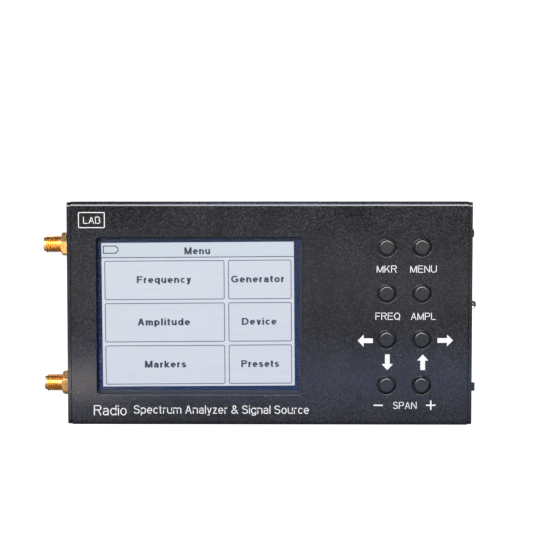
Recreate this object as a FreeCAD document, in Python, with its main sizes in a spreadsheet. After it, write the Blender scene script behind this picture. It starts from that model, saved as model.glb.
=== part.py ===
import FreeCAD, Part
import math
import os
import re

import Sketcher

# A hand-held radio spectrum analyzer in a split extruded aluminium case.
# Frame: +X to the right seen from the front, the front faces -Y, +Z up, and the origin is the
# centre of the bottom face. Millimetres.

SIZES = {
    # case: two extruded shells that meet behind the middle, closed by two end plates
    "case_width": 146.6,
    "case_height": 81.2,
    "case_depth": 26.0,
    "edge_radius": 1.6,
    "edge_break": 0.2,
    "front_wall": 2.0,
    "side_wall": 1.8,
    "split_depth": 14.5,
    "tongue_thick": 0.9,
    "tongue_length": 1.5,
    "joint_gap": 0.1,
    "plate_thick": 1.5,
    "plate_inset": 0.2,
    "seam_gap": 0.3,
    "seam_depth": 1.0,
    "boss_radius": 2.8,
    "boss_bite": 0.3,
    "guide_rib": 1.0,
    "guide_height": 1.6,
    # end plate screws, M3 countersunk with a hex socket
    "shank_radius": 1.45,
    "thread_gap": 0.05,
    "screw_length": 9.0,
    "head_radius": 2.85,
    "screw_hole_radius": 1.7,
    "socket_flats": 2.0,
    "socket_depth": 1.1,
    # screen window and what is behind it
    "window_left": 10.64,
    "window_low": 11.14,
    "window_radius": 1.5,
    "window_margin_x": 0.25,
    "window_margin_z": 0.6,
    "gasket_thick": 0.3,
    "gasket_gap": 0.1,
    "module_width": 76.9,
    "module_height": 63.9,
    "module_shift_x": -0.58,
    "module_shift_z": 0.47,
    "touch_thick": 1.1,
    "layer_gap": 0.1,
    "module_thick": 3.2,
    "tray_wall": 0.3,
    "bezel_lip": 1.4,
    "bezel_band": 3.95,
    "cell_thick": 1.3,
    "backlight_thick": 1.5,
    # display board with the front keys, and its ribbon
    "ribbon_room": 0.7,
    "ribbon_thick": 0.15,
    "ribbon_width": 32.0,
    "ribbon_run": 12.0,
    "ribbon_bend": 0.9,
    "ribbon_slot": 3.0,
    "ribbon_bottom": 9.2,
    "ribbon_socket_z": 14.0,
    "ribbon_socket_height": 4.0,
    "ribbon_socket_deep": 1.3,
    "display_board_thick": 1.2,
    "display_board_left": 2.4,
    "display_board_right": 8.8,
    "display_board_low": 7.6,
    # front keys, in two columns of four
    "key_right": 18.25,
    "key_pitch_x": 12.65,
    "key_top": 16.5,
    "key_pitch_z": 16.65,
    "key_radius": 2.875,
    "key_round": 0.7,
    "key_gap": 0.575,
    "key_proud": 1.3,
    "key_skin": 2.4,
    "collar_lip": 0.85,
    "collar_thick": 0.8,
    "collar_gap": 0.2,
    "switch_side": 6.0,
    "switch_height": 3.5,
    "plunger_radius": 1.75,
    "plunger_fit": 0.05,
    "plunger_engage": 1.2,
    "plunger_room": 0.4,
    # main board, along the guides of the front shell
    "main_board_thick": 1.6,
    "main_board_slack": 0.4,
    "main_board_end": 2.5,
    "guide_gap": 0.1,
    "spacer_radius": 2.25,
    "spacer_edge": 2.5,
    "small_shank": 1.2,
    "small_bore": 1.25,
    "small_head": 2.2,
    "small_head_height": 1.5,
    "small_thread": 0.9,
    "link_length": 20.0,
    "link_width": 5.0,
    "link_x": 30.0,
    # radio section on the back of the main board
    "shield_end": 9.5,
    "shield_width": 42.0,
    "shield_height": 36.0,
    "shield_rise": 2.6,
    "shield_wall": 0.3,
    "lid_lip": 1.2,
    "lid_gap": 0.05,
    "chip_side": 5.0,
    "chip_thick": 0.9,
    "processor_side": 12.0,
    "processor_x": 20.0,
    # battery on the rear shell
    "battery_width": 68.0,
    "battery_height": 48.0,
    "battery_thick": 6.2,
    "battery_end": 19.8,
    "battery_round": 1.5,
    "pad_thick": 0.4,
    "pad_width": 12.0,
    "pad_reach": 20.0,
    "lead_radius": 0.6,
    "lead_pitch": 2.5,
    "lead_bend": 2.5,
    "lead_z": 48.0,
    "plug_end": 10.3,
    "plug_width": 4.0,
    "plug_height": 6.6,
    "plug_length": 2.6,
    "plug_lift": 0.6,
    "socket_wall": 0.9,
    "plug_gap": 0.1,
    # two coaxial jacks on the left plate, 1/4-36 thread
    "jack_depth": 12.6,
    "jack_low_z": 13.8,
    "jack_top": 15.8,
    "jack_reach": 10.2,
    "jack_thread": 3.175,
    "pitch_depth": 0.23,
    "pilot_step": 0.525,
    "pilot_length": 1.0,
    "jack_mouth": 2.3,
    "jack_mouth_depth": 1.9,
    "insulator_radius": 2.05,
    "contact_radius": 0.63,
    "contact_bore": 0.47,
    "contact_bore_depth": 2.6,
    "tail_radius": 0.4,
    "tail_length": 4.0,
    "flange_lip": 0.725,
    "flange_thick": 1.6,
    "leg_side": 0.9,
    "leg_spread": 2.5,
    "washer_thick": 1.0,
    "washer_band": 1.125,
    "nut_thick": 2.6,
    "nut_wall": 0.825,
    "nut_chamfer_run": 4.0,
    "high_nut_turn": 11.0,
    "low_nut_turn": 21.0,
    "panel_hole_gap": 0.1,
    # right plate: side key, lamp, charging socket and power switch
    "side_axis": 1.75,
    "side_key_top": 11.7,
    "side_key_radius": 1.7,
    "side_key_proud": 1.6,
    "side_key_gap": 0.15,
    "side_key_lip": 0.45,
    "side_key_travel_room": 0.5,
    "side_switch_length": 5.0,
    "side_switch_deep": 3.4,
    "led_z": 43.35,
    "led_radius": 1.5,
    "led_set_back": 1.2,
    "led_length": 5.3,
    "led_flange": 1.9,
    "led_flange_thick": 1.0,
    "lead_side": 0.5,
    "led_lead_pitch": 1.27,
    "led_gap": 0.1,
    "usb_z": 28.0,
    "usb_width": 8.94,
    "usb_height": 3.26,
    "usb_length": 7.3,
    "usb_wall": 0.3,
    "usb_corner": 1.2,
    "usb_sink": 0.4,
    "usb_gap": 0.3,
    "tongue_width": 6.7,
    "tongue_height": 0.7,
    "tongue_reach": 4.6,
    "knob_z": 13.0,
    "knob_height": 3.0,
    "knob_width": 1.6,
    "knob_proud": 2.2,
    "knob_travel": 2.0,
    "knob_fit": 0.1,
    "knob_slot_gap": 0.4,
    "knob_root": 2.2,
    "slide_frame_deep": 3.4,
    "slide_frame_wall": 1.8,
    "slide_frame_gap": 0.9,
    "slide_frame_length": 5.0,
}

# Places that several pieces share, each worked out from the sizes above.
PLACES = {
    "front_face": "-case_depth / 2",
    "rear_face": "case_depth / 2",
    "wall_back": "front_face + front_wall",
    "rear_wall": "rear_face - front_wall",
    "split": "front_face + split_depth",
    "shell_half": "case_width / 2 - plate_thick",
    "plate_outer": "case_width / 2",
    "boss_inset": "boss_radius - boss_bite",
    "boss_front": "wall_back + boss_inset",
    "boss_rear": "rear_wall - boss_inset",
    "boss_low": "side_wall + boss_inset",
    "boss_high": "case_height - boss_low",
    "bezel_width": "module_width - 2 * bezel_lip",
    "bezel_height": "module_height - 2 * bezel_band",
    "window_width": "bezel_width + 2 * window_margin_x",
    "window_height": "bezel_height + 2 * window_margin_z",
    "window_x": "window_left + window_width / 2 - plate_outer",
    "window_z": "window_low + window_height / 2",
    "module_x": "window_x + module_shift_x",
    "module_z": "window_z + module_shift_z",
    "gasket_back": "wall_back + gasket_thick",
    "touch_back": "gasket_back + touch_thick",
    "tray_front": "touch_back + layer_gap",
    "tray_back": "tray_front + module_thick",
    "cell_front": "tray_front + tray_wall",
    "cell_back": "cell_front + cell_thick",
    "display_front": "tray_back + ribbon_room",
    "display_back": "display_front + display_board_thick",
    "display_left": "display_board_left - shell_half",
    "display_right": "shell_half - display_board_right",
    "display_high": "case_height - display_board_low",
    "jack_axis": "front_face + jack_depth",
    "board_back": "jack_axis - tail_radius",
    "board_front": "board_back - main_board_thick",
    "board_left": "main_board_end - shell_half",
    "board_right": "shell_half - main_board_end",
    "board_low": "side_wall + main_board_slack",
    "board_high": "case_height - board_low",
    "key_x": "plate_outer - key_right - key_pitch_x",
    "key_top_z": "case_height - key_top",
    "collar_front": "wall_back + collar_gap",
    "collar_back": "collar_front + collar_thick",
    "collar_radius": "key_radius + key_gap + collar_lip",
    "key_front": "front_face - key_proud",
    "key_socket": "key_front + key_skin",
    "key_bottom_z": "key_top_z - 3 * key_pitch_z",
    "switch_front": "display_front - switch_height",
    "spacer_low": "key_bottom_z + key_pitch_z / 2",
    "spacer_high": "key_top_z - key_pitch_z / 2",
    "spacer_left": "display_left + spacer_edge",
    "spacer_right": "display_right - spacer_edge",
    "side_y": "board_front - side_axis",
    "battery_x": "shell_half - battery_end - battery_width / 2",
    "battery_back": "rear_wall - pad_thick",
    "battery_front": "battery_back - battery_thick",
    "battery_z": "case_height / 2",
    "plug_x": "shell_half - plug_end",
    "plug_back": "board_back + plug_lift + plug_length",
    "jack_high_z": "case_height - jack_top",
    "jack_tip": "-plate_outer - jack_reach",
    "jack_floor": "jack_tip + jack_mouth_depth",
    "pilot_radius": "jack_thread - pilot_step",
    "flange_radius": "jack_thread + flange_lip",
    "washer_radius": "jack_thread + washer_band",
    "nut_start": "-plate_outer - washer_thick",
    "nut_face": "nut_start - nut_thick",
    "nut_corner": "(jack_thread + nut_wall) / cos(30)",
    "shield_x": "shield_end + shield_width / 2 - shell_half",
    "shield_z": "case_height / 2",
    "shield_back": "board_back + shield_rise",
    "side_key_z": "case_height - side_key_top",
    "side_key_collar": "side_key_radius + side_key_gap + side_key_lip",
    "usb_mouth": "plate_outer - usb_sink",
    "usb_floor": "usb_mouth - usb_length",
    "side_switch_front": "board_right - side_switch_length / 5",
    "slide_frame_front": "shell_half - slide_frame_gap",
}

KEYS = {
    "key_marker": (0, 0),
    "key_menu": (1, 0),
    "key_frequency": (0, 1),
    "key_amplitude": (1, 1),
    "key_left": (0, 2),
    "key_right": (1, 2),
    "key_down": (0, 3),
    "key_up": (1, 3),
}

doc = FreeCAD.newDocument("spectrum_analyzer")
sheet = doc.addObject("Spreadsheet::Sheet", "Sizes")
for row, (alias, size) in enumerate(SIZES.items(), start=1):
    sheet.set(f"A{row}", alias)
    sheet.set(f"B{row}", str(size))
    sheet.setAlias(f"B{row}", alias)
doc.recompute()

AXES = {"X": FreeCAD.Vector(1, 0, 0), "Y": FreeCAD.Vector(0, 1, 0), "Z": FreeCAD.Vector(0, 0, 1)}
nodes = []


def formula(text):
    """Turn an expression in the words of SIZES and PLACES into one on the sheet's cells."""
    def spell(match):
        word = match.group(0)
        if word in PLACES:
            return "(" + formula(PLACES[word]) + ")"
        return "Sizes." + word if word in SIZES else word
    return re.sub(r"[a-z_]+", spell, str(text))


def value(text):
    """The number that an expression has now."""
    return float(sheet.evalExpression(formula(text)))


def bind(item, **expressions):
    """Tie properties of an object to the sheet."""
    for name, text in expressions.items():
        item.setExpression(name, formula(text))


def place(item, x="0", y="0", z="0", turn=None):
    """Put an object at a place on the sheet, turned by a fixed rotation."""
    if turn is not None:
        item.Placement = FreeCAD.Placement(FreeCAD.Vector(), turn)
    for axis, text in zip("xyz", (x, y, z)):
        item.setExpression("Placement.Base." + axis, formula(text))


def facing(axis, back=False):
    """The rotation that points a primitive's own +Z along an axis, or against it."""
    way = AXES[axis] * (-1 if back else 1)
    return FreeCAD.Rotation(AXES["Z"], way)


def node(item, label):
    """Name a finished sub-part and keep it for export."""
    item.Label = label
    nodes.append(item)
    return item


def block(name, low, high):
    """A box between two corners."""
    item = doc.addObject("Part::Box", name)
    for side, start, end in zip(("Length", "Width", "Height"), low, high):
        item.setExpression(side, formula(f"({end}) - ({start})"))
    place(item, *low)
    return item


def rod(name, radius, length, at, axis, back=False):
    """A cylinder from a point along an axis."""
    item = doc.addObject("Part::Cylinder", name)
    bind(item, Radius=radius, Height=length)
    place(item, *at, turn=facing(axis, back))
    return item


def fuse(name, pieces):
    """One solid from several that touch."""
    item = doc.addObject("Part::MultiFuse", name)
    item.Shapes = pieces
    item.Refine = True
    return item


def cut(name, base, tool):
    """One shape less another."""
    item = doc.addObject("Part::Cut", name)
    item.Base = base
    item.Tool = tool
    return item


def group(label, pieces):
    """Several like solids that are one node."""
    item = doc.addObject("Part::Compound", label)
    item.Links = pieces
    return node(item, label)


def new_body(label, keep=True):
    """A PartDesign body, kept as a node unless it is only a piece of one."""
    body = doc.addObject("PartDesign::Body", label)
    return node(body, label) if keep else body


def sketch_on(body, name, plane, at):
    """A sketch on one of the body's own planes, moved to the coordinate `at` across it."""
    sketch = body.newObject("Sketcher::SketchObject", f"{body.Label}_{name}")
    support = [item for item in body.Origin.OriginFeatures if item.Role == plane + "_Plane"][0]
    sketch.AttachmentSupport = (support, "")
    sketch.MapMode = "FlatFace"
    # the XZ plane's normal points along -Y, the other two planes' along their axis
    sign = "-1 * " if plane == "XZ" else ""
    sketch.setExpression("AttachmentOffset.Base.z", formula(f"{sign}({at})"))
    return sketch


def fix(sketch, kind, *items, size):
    """Add a driving constraint and tie it to the sheet."""
    number = sketch.addConstraint(Sketcher.Constraint(kind, *items, value(size)))
    sketch.setExpression(f"Constraints[{number}]", formula(size))


def outline(sketch, corners, rounded=None, closed=True):
    """Draw level and upright lines through corners that are pairs of expressions.

    `rounded` gives the corners, by number, that become tangent arcs, with their radii. A closed
    outline runs anticlockwise.
    """
    rounded = rounded or {}
    count = len(corners)
    points = [FreeCAD.Vector(value(u), value(v), 0) for u, v in corners]
    last = count if closed else count - 1
    first_line = sketch.GeometryCount

    def trim(corner, neighbour):
        """The point where the line towards a neighbour leaves the corner."""
        way = (points[neighbour] - points[corner]).normalize()
        return points[corner] + way * (value(rounded[corner]) if corner in rounded else 0)

    for number in range(last):
        following = (number + 1) % count
        line = Part.LineSegment(trim(number, following), trim(following, number))
        index = sketch.addGeometry(line)
        level = abs(points[number].y - points[following].y) < 1e-6
        sketch.addConstraint(Sketcher.Constraint("Horizontal" if level else "Vertical", index))
        if level:
            fix(sketch, "DistanceY", -1, 1, index, 1, size=corners[number][1])
        else:
            fix(sketch, "DistanceX", -1, 1, index, 1, size=corners[number][0])

    for number in range(count):
        if not closed and number in (0, count - 1):
            continue
        before = first_line + (number - 1) % count
        after = first_line + number
        if number not in rounded:
            sketch.addConstraint(Sketcher.Constraint("Coincident", before, 2, after, 1))
            continue
        start = trim(number, (number - 1) % count)
        end = trim(number, (number + 1) % count)
        centre = start + end - points[number]
        leftward = (points[number] - start).cross(end - points[number]).z > 0
        first, second = (start, end) if leftward else (end, start)
        angles = [math.atan2(spot.y - centre.y, spot.x - centre.x) for spot in (first, second)]
        circle = Part.Circle(centre, AXES["Z"], value(rounded[number]))
        arc = sketch.addGeometry(Part.ArcOfCircle(circle, *angles))
        at_start, at_end = (1, 2) if leftward else (2, 1)
        sketch.addConstraint(Sketcher.Constraint("Tangent", before, 2, arc, at_start))
        sketch.addConstraint(Sketcher.Constraint("Tangent", arc, at_end, after, 1))
        fix(sketch, "Radius", arc, size=rounded[number])
    if not closed:
        for end_line, end_point, corner in ((first_line, 1, 0), (first_line + last - 1, 2, -1)):
            upright = abs(points[corner].x - points[1 if corner == 0 else -2].x) < 1e-6
            kind, text = ("DistanceY", corners[corner][1]) if upright else ("DistanceX", corners[corner][0])
            fix(sketch, kind, -1, 1, end_line, end_point, size=text)


def rectangle(sketch, low, high, radius=None):
    """An upright rectangle between two corners, with all four corners rounded if asked."""
    corners = [(low[0], low[1]), (high[0], low[1]), (high[0], high[1]), (low[0], high[1])]
    outline(sketch, corners, {number: radius for number in range(4)} if radius else None)


def centred(sketch, x, z, width, height, radius=None):
    """A rectangle given by its centre and size."""
    low = (f"({x}) - ({width}) / 2", f"({z}) - ({height}) / 2")
    high = (f"({x}) + ({width}) / 2", f"({z}) + ({height}) / 2")
    rectangle(sketch, low, high, radius)


def circle(sketch, u, v, radius):
    """A circle bound to the sheet."""
    number = sketch.addGeometry(Part.Circle(FreeCAD.Vector(value(u), value(v), 0), AXES["Z"], value(radius)))
    fix(sketch, "DistanceX", -1, 1, number, 3, size=u)
    fix(sketch, "DistanceY", -1, 1, number, 3, size=v)
    fix(sketch, "Radius", number, size=radius)


def pad(body, sketch, length):
    """Raise the sketch along its normal: +X, -Y or +Z."""
    feature = body.newObject("PartDesign::Pad", sketch.Name + "_pad")
    feature.Profile = sketch
    bind(feature, Length=length)
    return feature


def pocket(body, sketch, depth):
    """Cut the sketch away against its normal, and make sure that it cut something."""
    doc.recompute()
    before = body.Shape.Volume
    feature = body.newObject("PartDesign::Pocket", sketch.Name + "_pocket")
    feature.Profile = sketch
    bind(feature, Length=depth)
    doc.recompute()
    if body.Shape.Volume >= before - 1e-6:
        raise ValueError(sketch.Name + " cuts nothing")
    return feature


def turned(body, sketch, axis):
    """Revolve the sketch about its own H (level) or V (upright) axis."""
    feature = body.newObject("PartDesign::Revolution", sketch.Name + "_turned")
    feature.Profile = sketch
    feature.ReferenceAxis = (sketch, [axis + "_Axis"])
    feature.Angle = 360
    return feature


def plate_piece(label, y_low, y_high, x, z, width, height, radius=None, hole=None):
    """A flat piece across Y, with an opening if `hole` gives its width, height, and centre."""
    body = new_body(label)
    sketch = sketch_on(body, "outline", "XZ", y_high)
    centred(sketch, x, z, width, height, radius)
    if hole:
        centred(sketch, hole[2], hole[3], hole[0], hole[1], hole[4] if len(hole) > 4 else None)
    pad(body, sketch, f"({y_high}) - ({y_low})")
    return body


def mirrored_z(texts):
    """The same heights measured from the top of the case."""
    return [f"case_height - ({text})" for text in texts]


# --- case ---------------------------------------------------------------------------------------

def boss_pads(body, boss_y):
    """Two screw bosses along the extrusion, with their bores."""
    solid = sketch_on(body, "bosses", "YZ", "-shell_half")
    bores = sketch_on(body, "boss_bores", "YZ", "shell_half")
    for boss_z in ("boss_low", "boss_high"):
        circle(solid, boss_y, boss_z, "boss_radius")
        circle(bores, boss_y, boss_z, "shank_radius + thread_gap")
    pad(body, solid, "2 * shell_half")
    pocket(body, bores, "2 * shell_half")


def front_shell():
    """The front extrusion: face, top and bottom walls with a tongue, bosses and board guides."""
    body = new_body("front_shell")
    profile = sketch_on(body, "profile", "YZ", "-shell_half")
    tongue = "split + tongue_length"
    low = [("front_face", "0"), ("split", "0"), ("split", "side_wall - tongue_thick"),
           (tongue, "side_wall - tongue_thick"), (tongue, "side_wall"), ("wall_back", "side_wall")]
    high = [(u, f"case_height - ({v})") for u, v in reversed(low)]
    outline(profile, low + high, {0: "edge_radius", 11: "edge_radius"})
    pad(body, profile, "2 * shell_half")

    ribs = sketch_on(body, "board_guides", "YZ", "-shell_half")
    ahead = ("board_front - guide_gap - guide_rib", "board_front - guide_gap")
    behind = ("board_back + guide_gap", "board_back + guide_gap + guide_rib")
    for rib in (ahead, behind):
        rectangle(ribs, (rib[0], "side_wall / 2"), (rib[1], "side_wall + guide_height"))
        low_z, high_z = mirrored_z(("side_wall + guide_height", "side_wall / 2"))
        rectangle(ribs, (rib[0], low_z), (rib[1], high_z))
    pad(body, ribs, "2 * shell_half")
    boss_pads(body, "boss_front")

    window = sketch_on(body, "window", "XZ", "front_face")
    centred(window, "window_x", "window_z", "window_width", "window_height", "window_radius")
    pocket(body, window, "front_wall")
    holes = sketch_on(body, "key_holes", "XZ", "front_face")
    for column, row in KEYS.values():
        circle(holes, key_x(column), key_z(row), "key_radius + key_gap")
    cut_face = pocket(body, holes, "front_wall")
    rims = [f"Edge{number}" for number, edge in enumerate(cut_face.Shape.Edges, start=1)
            if is_opening_rim(edge.BoundBox)]
    eased = body.newObject("PartDesign::Fillet", "eased_rims")
    eased.Base = (cut_face, rims)
    bind(eased, Radius="edge_break")


def is_opening_rim(box):
    """Whether an edge with this bounding box lies in the front face, away from the shell's ends."""
    in_face = abs(box.YMin - value("front_face")) < 1e-4 and abs(box.YMax - value("front_face")) < 1e-4
    return in_face and max(-box.XMin, box.XMax) < value("shell_half") - 1e-4


def rear_shell():
    """The rear extrusion: back, top and bottom walls with a rebate over the tongue, and bosses."""
    body = new_body("rear_shell")
    profile = sketch_on(body, "profile", "YZ", "-shell_half")
    rebate = "split + tongue_length + joint_gap"
    step = "side_wall - tongue_thick - joint_gap"
    low = [("rear_wall", "side_wall"), (rebate, "side_wall"), (rebate, step),
           ("split + joint_gap", step), ("split + joint_gap", "0"), ("rear_face", "0")]
    high = [(u, f"case_height - ({v})") for u, v in reversed(low)]
    outline(profile, low + high, {5: "edge_radius", 6: "edge_radius"})
    pad(body, profile, "2 * shell_half")
    boss_pads(body, "boss_rear")


def end_plate(label, outer, cut_outs):
    """An end plate with four countersunk holes and the openings that `cut_outs` draws.

    A step round its inner face leaves a narrow dark seam against the shells.
    """
    body = new_body(label)
    left = outer.startswith("-")
    low_x = outer if left else f"{outer} - plate_thick"
    high_x = f"{outer} + plate_thick" if left else outer
    layers = [("outline", "plate_inset", "plate_thick - seam_gap", "edge_radius"),
              ("step", "plate_inset + seam_depth", "seam_gap", "edge_radius / 2")]
    start = low_x
    for name, inset, thick, radius in layers if left else reversed(layers):
        sketch = sketch_on(body, name, "YZ", start)
        rectangle(sketch, (f"front_face + {inset}", inset), (f"rear_face - ({inset})", f"case_height - ({inset})"),
                  radius)
        pad(body, sketch, thick)
        start = f"{start} + {thick}"
    screws = sketch_on(body, "screw_holes", "YZ", high_x)
    for boss_y in ("boss_front", "boss_rear"):
        for boss_z in ("boss_low", "boss_high"):
            circle(screws, boss_y, boss_z, "screw_hole_radius")
    last = pocket(body, screws, "plate_thick")
    rims = [f"Edge{number}" for number, edge in enumerate(last.Shape.Edges, start=1)
            if is_rim(edge, value("screw_hole_radius"), value(outer))]
    if len(rims) != 4:
        raise ValueError(label + " has lost a screw hole")
    seats = body.newObject("PartDesign::Chamfer", label + "_countersinks")
    seats.Base = (last, rims)
    bind(seats, Size="head_radius + thread_gap - screw_hole_radius")
    openings = sketch_on(body, "openings", "YZ", high_x)
    cut_outs(openings)
    pocket(body, openings, "plate_thick")


def is_rim(edge, radius, x):
    """Whether an edge is a full circle of this radius in the plane at x."""
    is_circle = isinstance(edge.Curve, Part.Circle)
    return is_circle and abs(edge.Curve.Radius - radius) < 1e-4 and abs(edge.Curve.Center.x - x) < 1e-4


def jack_holes(sketch):
    """The openings of the left plate."""
    for jack_z in ("jack_low_z", "jack_high_z"):
        circle(sketch, "jack_axis", jack_z, "jack_thread + panel_hole_gap")


def control_holes(sketch):
    """The openings of the right plate: side key, lamp, charging socket, power switch."""
    circle(sketch, "side_y", "side_key_z", "side_key_radius + side_key_gap")
    circle(sketch, "side_y", "led_z", "led_radius + led_gap")
    centred(sketch, "side_y", "usb_z", "usb_height + 2 * usb_gap", "usb_width + 2 * usb_gap",
            "usb_corner + usb_gap")
    rectangle(sketch, ("side_y - knob_width / 2 - knob_slot_gap", "knob_z - knob_height / 2 - knob_slot_gap"),
              ("side_y + knob_width / 2 + knob_slot_gap",
               "knob_z + knob_height / 2 + knob_travel + knob_slot_gap"), "knob_slot_gap")


def plate_screws(label, outer, back):
    """Four countersunk screws of one end plate, driven along X."""
    pieces = []
    for boss_y in ("boss_front", "boss_rear"):
        for boss_z in ("boss_low", "boss_high"):
            name = f"{label}_{len(pieces)}"
            at = (outer, boss_y, boss_z)
            head = doc.addObject("Part::Cone", name + "_head")
            bind(head, Radius1="head_radius", Radius2="shank_radius", Height="head_radius - shank_radius")
            place(head, *at, turn=facing("X", back))
            shank = rod(name + "_shank", "shank_radius", "screw_length", at, "X", back)
            recess = doc.addObject("Part::Prism", name + "_recess")
            recess.Polygon = 6
            bind(recess, Circumradius="socket_flats / 2 / cos(30)", Height="socket_depth")
            place(recess, *at, turn=facing("X", back))
            pieces.append(cut(name, fuse(name + "_solid", [head, shank]), recess))
    group(label, pieces)


# --- screen -------------------------------------------------------------------------------------

def screen():
    """Gasket, touch panel, and the display's tray, glass cell and backlight."""
    module = ("module_x", "module_z", "module_width", "module_height")
    opening = ("window_width + 2 * gasket_gap", "window_height + 2 * gasket_gap", "window_x", "window_z",
               "window_radius")
    plate_piece("window_gasket", "wall_back", "gasket_back", *module, hole=opening)
    plate_piece("touch_panel", "gasket_back", "touch_back", *module, radius="tray_wall")
    tray = plate_piece("display_tray", "tray_front", "tray_back", *module, radius="tray_wall")
    inside = sketch_on(tray, "inside", "XZ", "cell_front")
    inner = ("module_width - 2 * tray_wall", "module_height - 2 * tray_wall")
    centred(inside, "module_x", "module_z", *inner)
    pocket(tray, inside, "module_thick - tray_wall")
    bezel = sketch_on(tray, "bezel", "XZ", "tray_front")
    centred(bezel, "module_x", "module_z", "bezel_width", "bezel_height")
    pocket(tray, bezel, "tray_wall")
    fitted = ("module_x", "module_z", inner[0] + " - 2 * layer_gap", inner[1] + " - 2 * layer_gap")
    plate_piece("display_glass", "cell_front", "cell_back", *fitted)
    plate_piece("backlight", "cell_back", "cell_back + backlight_thick", *fitted)


def ribbon():
    """The display's flat ribbon, bent round through a slot in the display board to its socket."""
    body = new_body("display_ribbon")
    sketch = sketch_on(body, "outline", "YZ", "module_x - ribbon_width / 2")
    front = "display_front - ribbon_room / 2"
    rear = "display_back + ribbon_socket_deep / 2"
    half = "ribbon_thick / 2"
    inner_bend = "ribbon_bend - ribbon_thick"
    corners = [(f"{front} - {half}", "ribbon_bottom + ribbon_run"),
               (f"{front} - {half}", "ribbon_bottom"),
               (f"{rear} + {half}", "ribbon_bottom"),
               (f"{rear} + {half}", "ribbon_socket_z"),
               (f"{rear} - {half}", "ribbon_socket_z"),
               (f"{rear} - {half}", "ribbon_bottom + ribbon_thick"),
               (f"{front} + {half}", "ribbon_bottom + ribbon_thick"),
               (f"{front} + {half}", "ribbon_bottom + ribbon_run")]
    outline(sketch, corners, {1: "ribbon_bend", 2: "ribbon_bend", 5: inner_bend, 6: inner_bend})
    pad(body, sketch, "ribbon_width")
    socket_low = ("module_x - ribbon_width / 2 - 1", "display_back", "ribbon_socket_z")
    socket_high = ("module_x + ribbon_width / 2 + 1", "display_back + ribbon_socket_deep",
                   "ribbon_socket_z + ribbon_socket_height")
    node(block("ribbon_socket", socket_low, socket_high), "ribbon_socket")


# --- boards -------------------------------------------------------------------------------------

def spacer_places():
    """The four places where the two boards are screwed together."""
    for x in ("spacer_left", "spacer_right"):
        for z in ("spacer_low", "spacer_high"):
            yield x, z


def display_board():
    """The board behind the screen and the keys, with a slot for the ribbon."""
    body = new_body("display_board")
    sketch = sketch_on(body, "outline", "XZ", "display_back")
    rectangle(sketch, ("display_left", "display_board_low"), ("display_right", "display_high"))
    for x, z in spacer_places():
        circle(sketch, x, z, "small_bore")
    slot = ("module_x", "ribbon_bottom + ribbon_bend", "ribbon_width + 2", "ribbon_slot")
    centred(sketch, *slot)
    pad(body, sketch, "display_board_thick")


def main_board():
    """The main board, which slides in the front shell's guides."""
    body = new_body("main_board")
    sketch = sketch_on(body, "outline", "XZ", "board_back")
    rectangle(sketch, ("board_left", "board_low"), ("board_right", "board_high"))
    for x, z in spacer_places():
        circle(sketch, x, z, "small_bore")
    pad(body, sketch, "main_board_thick")


def board_fasteners():
    """Four threaded spacers between the boards, and a pan-head screw into each end of each."""
    spacers = []
    screws = []
    for number, (x, z) in enumerate(spacer_places()):
        start = (x, "display_back", z)
        outside = rod(f"spacer_{number}_outside", "spacer_radius", "board_front - display_back", start, "Y")
        bore = rod(f"spacer_{number}_bore", "small_bore", "board_front - display_back", start, "Y")
        spacers.append(cut(f"spacer_{number}", outside, bore))
        for side, face, board, back in (("front", "display_front", "display_board_thick", False),
                                        ("rear", "board_back", "main_board_thick", True)):
            name = f"board_screw_{number}_{side}"
            at = (x, face, z)
            head = rod(name + "_head", "small_head", "small_head_height", at, "Y", not back)
            shank = rod(name + "_shank", "small_shank", f"{board} + small_thread", at, "Y", back)
            screws.append(fuse(name, [head, shank]))
    group("board_spacers", spacers)
    group("board_screws", screws)


def board_parts():
    """The connector between the boards, the processor, and the shielded radio section."""
    link_low = ("link_x - link_length / 2", "display_back", "case_height / 2 - link_width / 2")
    link_high = ("link_x + link_length / 2", "board_front", "case_height / 2 + link_width / 2")
    node(block("board_link", link_low, link_high), "board_link")
    chip_low = ("processor_x - processor_side / 2", "board_back", "case_height / 2 - processor_side / 2")
    chip_high = ("processor_x + processor_side / 2", "board_back + chip_thick",
                 "case_height / 2 + processor_side / 2")
    node(block("processor", chip_low, chip_high), "processor")

    frame = new_body("shield_frame")
    walls = sketch_on(frame, "walls", "XZ", "shield_back")
    section = "(shield_width - 3 * shield_wall) / 2"
    centred(walls, "shield_x", "shield_z", "shield_width", "shield_height")
    for side in (-1, 1):
        centred(walls, f"shield_x + {side} * ({section} + shield_wall) / 2", "shield_z", section,
                "shield_height - 2 * shield_wall")
    pad(frame, walls, "shield_rise")

    lid = new_body("shield_lid")
    lid_size = ("shield_width + 2 * lid_gap + 2 * shield_wall", "shield_height + 2 * lid_gap + 2 * shield_wall")
    cover = sketch_on(lid, "cover", "XZ", "shield_back + shield_wall")
    centred(cover, "shield_x", "shield_z", *lid_size)
    pad(lid, cover, "shield_wall + lid_lip")
    inside = sketch_on(lid, "inside", "XZ", "shield_back - lid_lip")
    centred(inside, "shield_x", "shield_z", "shield_width + 2 * lid_gap", "shield_height + 2 * lid_gap")
    pocket(lid, inside, "lid_lip")

    chips = []
    for column in (-1, 1):
        for row in (-1, 0, 1):
            x = f"shield_x + {column} * shield_width / 4"
            z = f"shield_z + {row} * shield_height / 4"
            low = (f"{x} - chip_side / 2", "board_back", f"{z} - chip_side / 2")
            high = (f"{x} + chip_side / 2", "board_back + chip_thick", f"{z} + chip_side / 2")
            chips.append(block(f"radio_chip_{len(chips)}", low, high))
    group("radio_chips", chips)


# --- battery ------------------------------------------------------------------------------------

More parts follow.
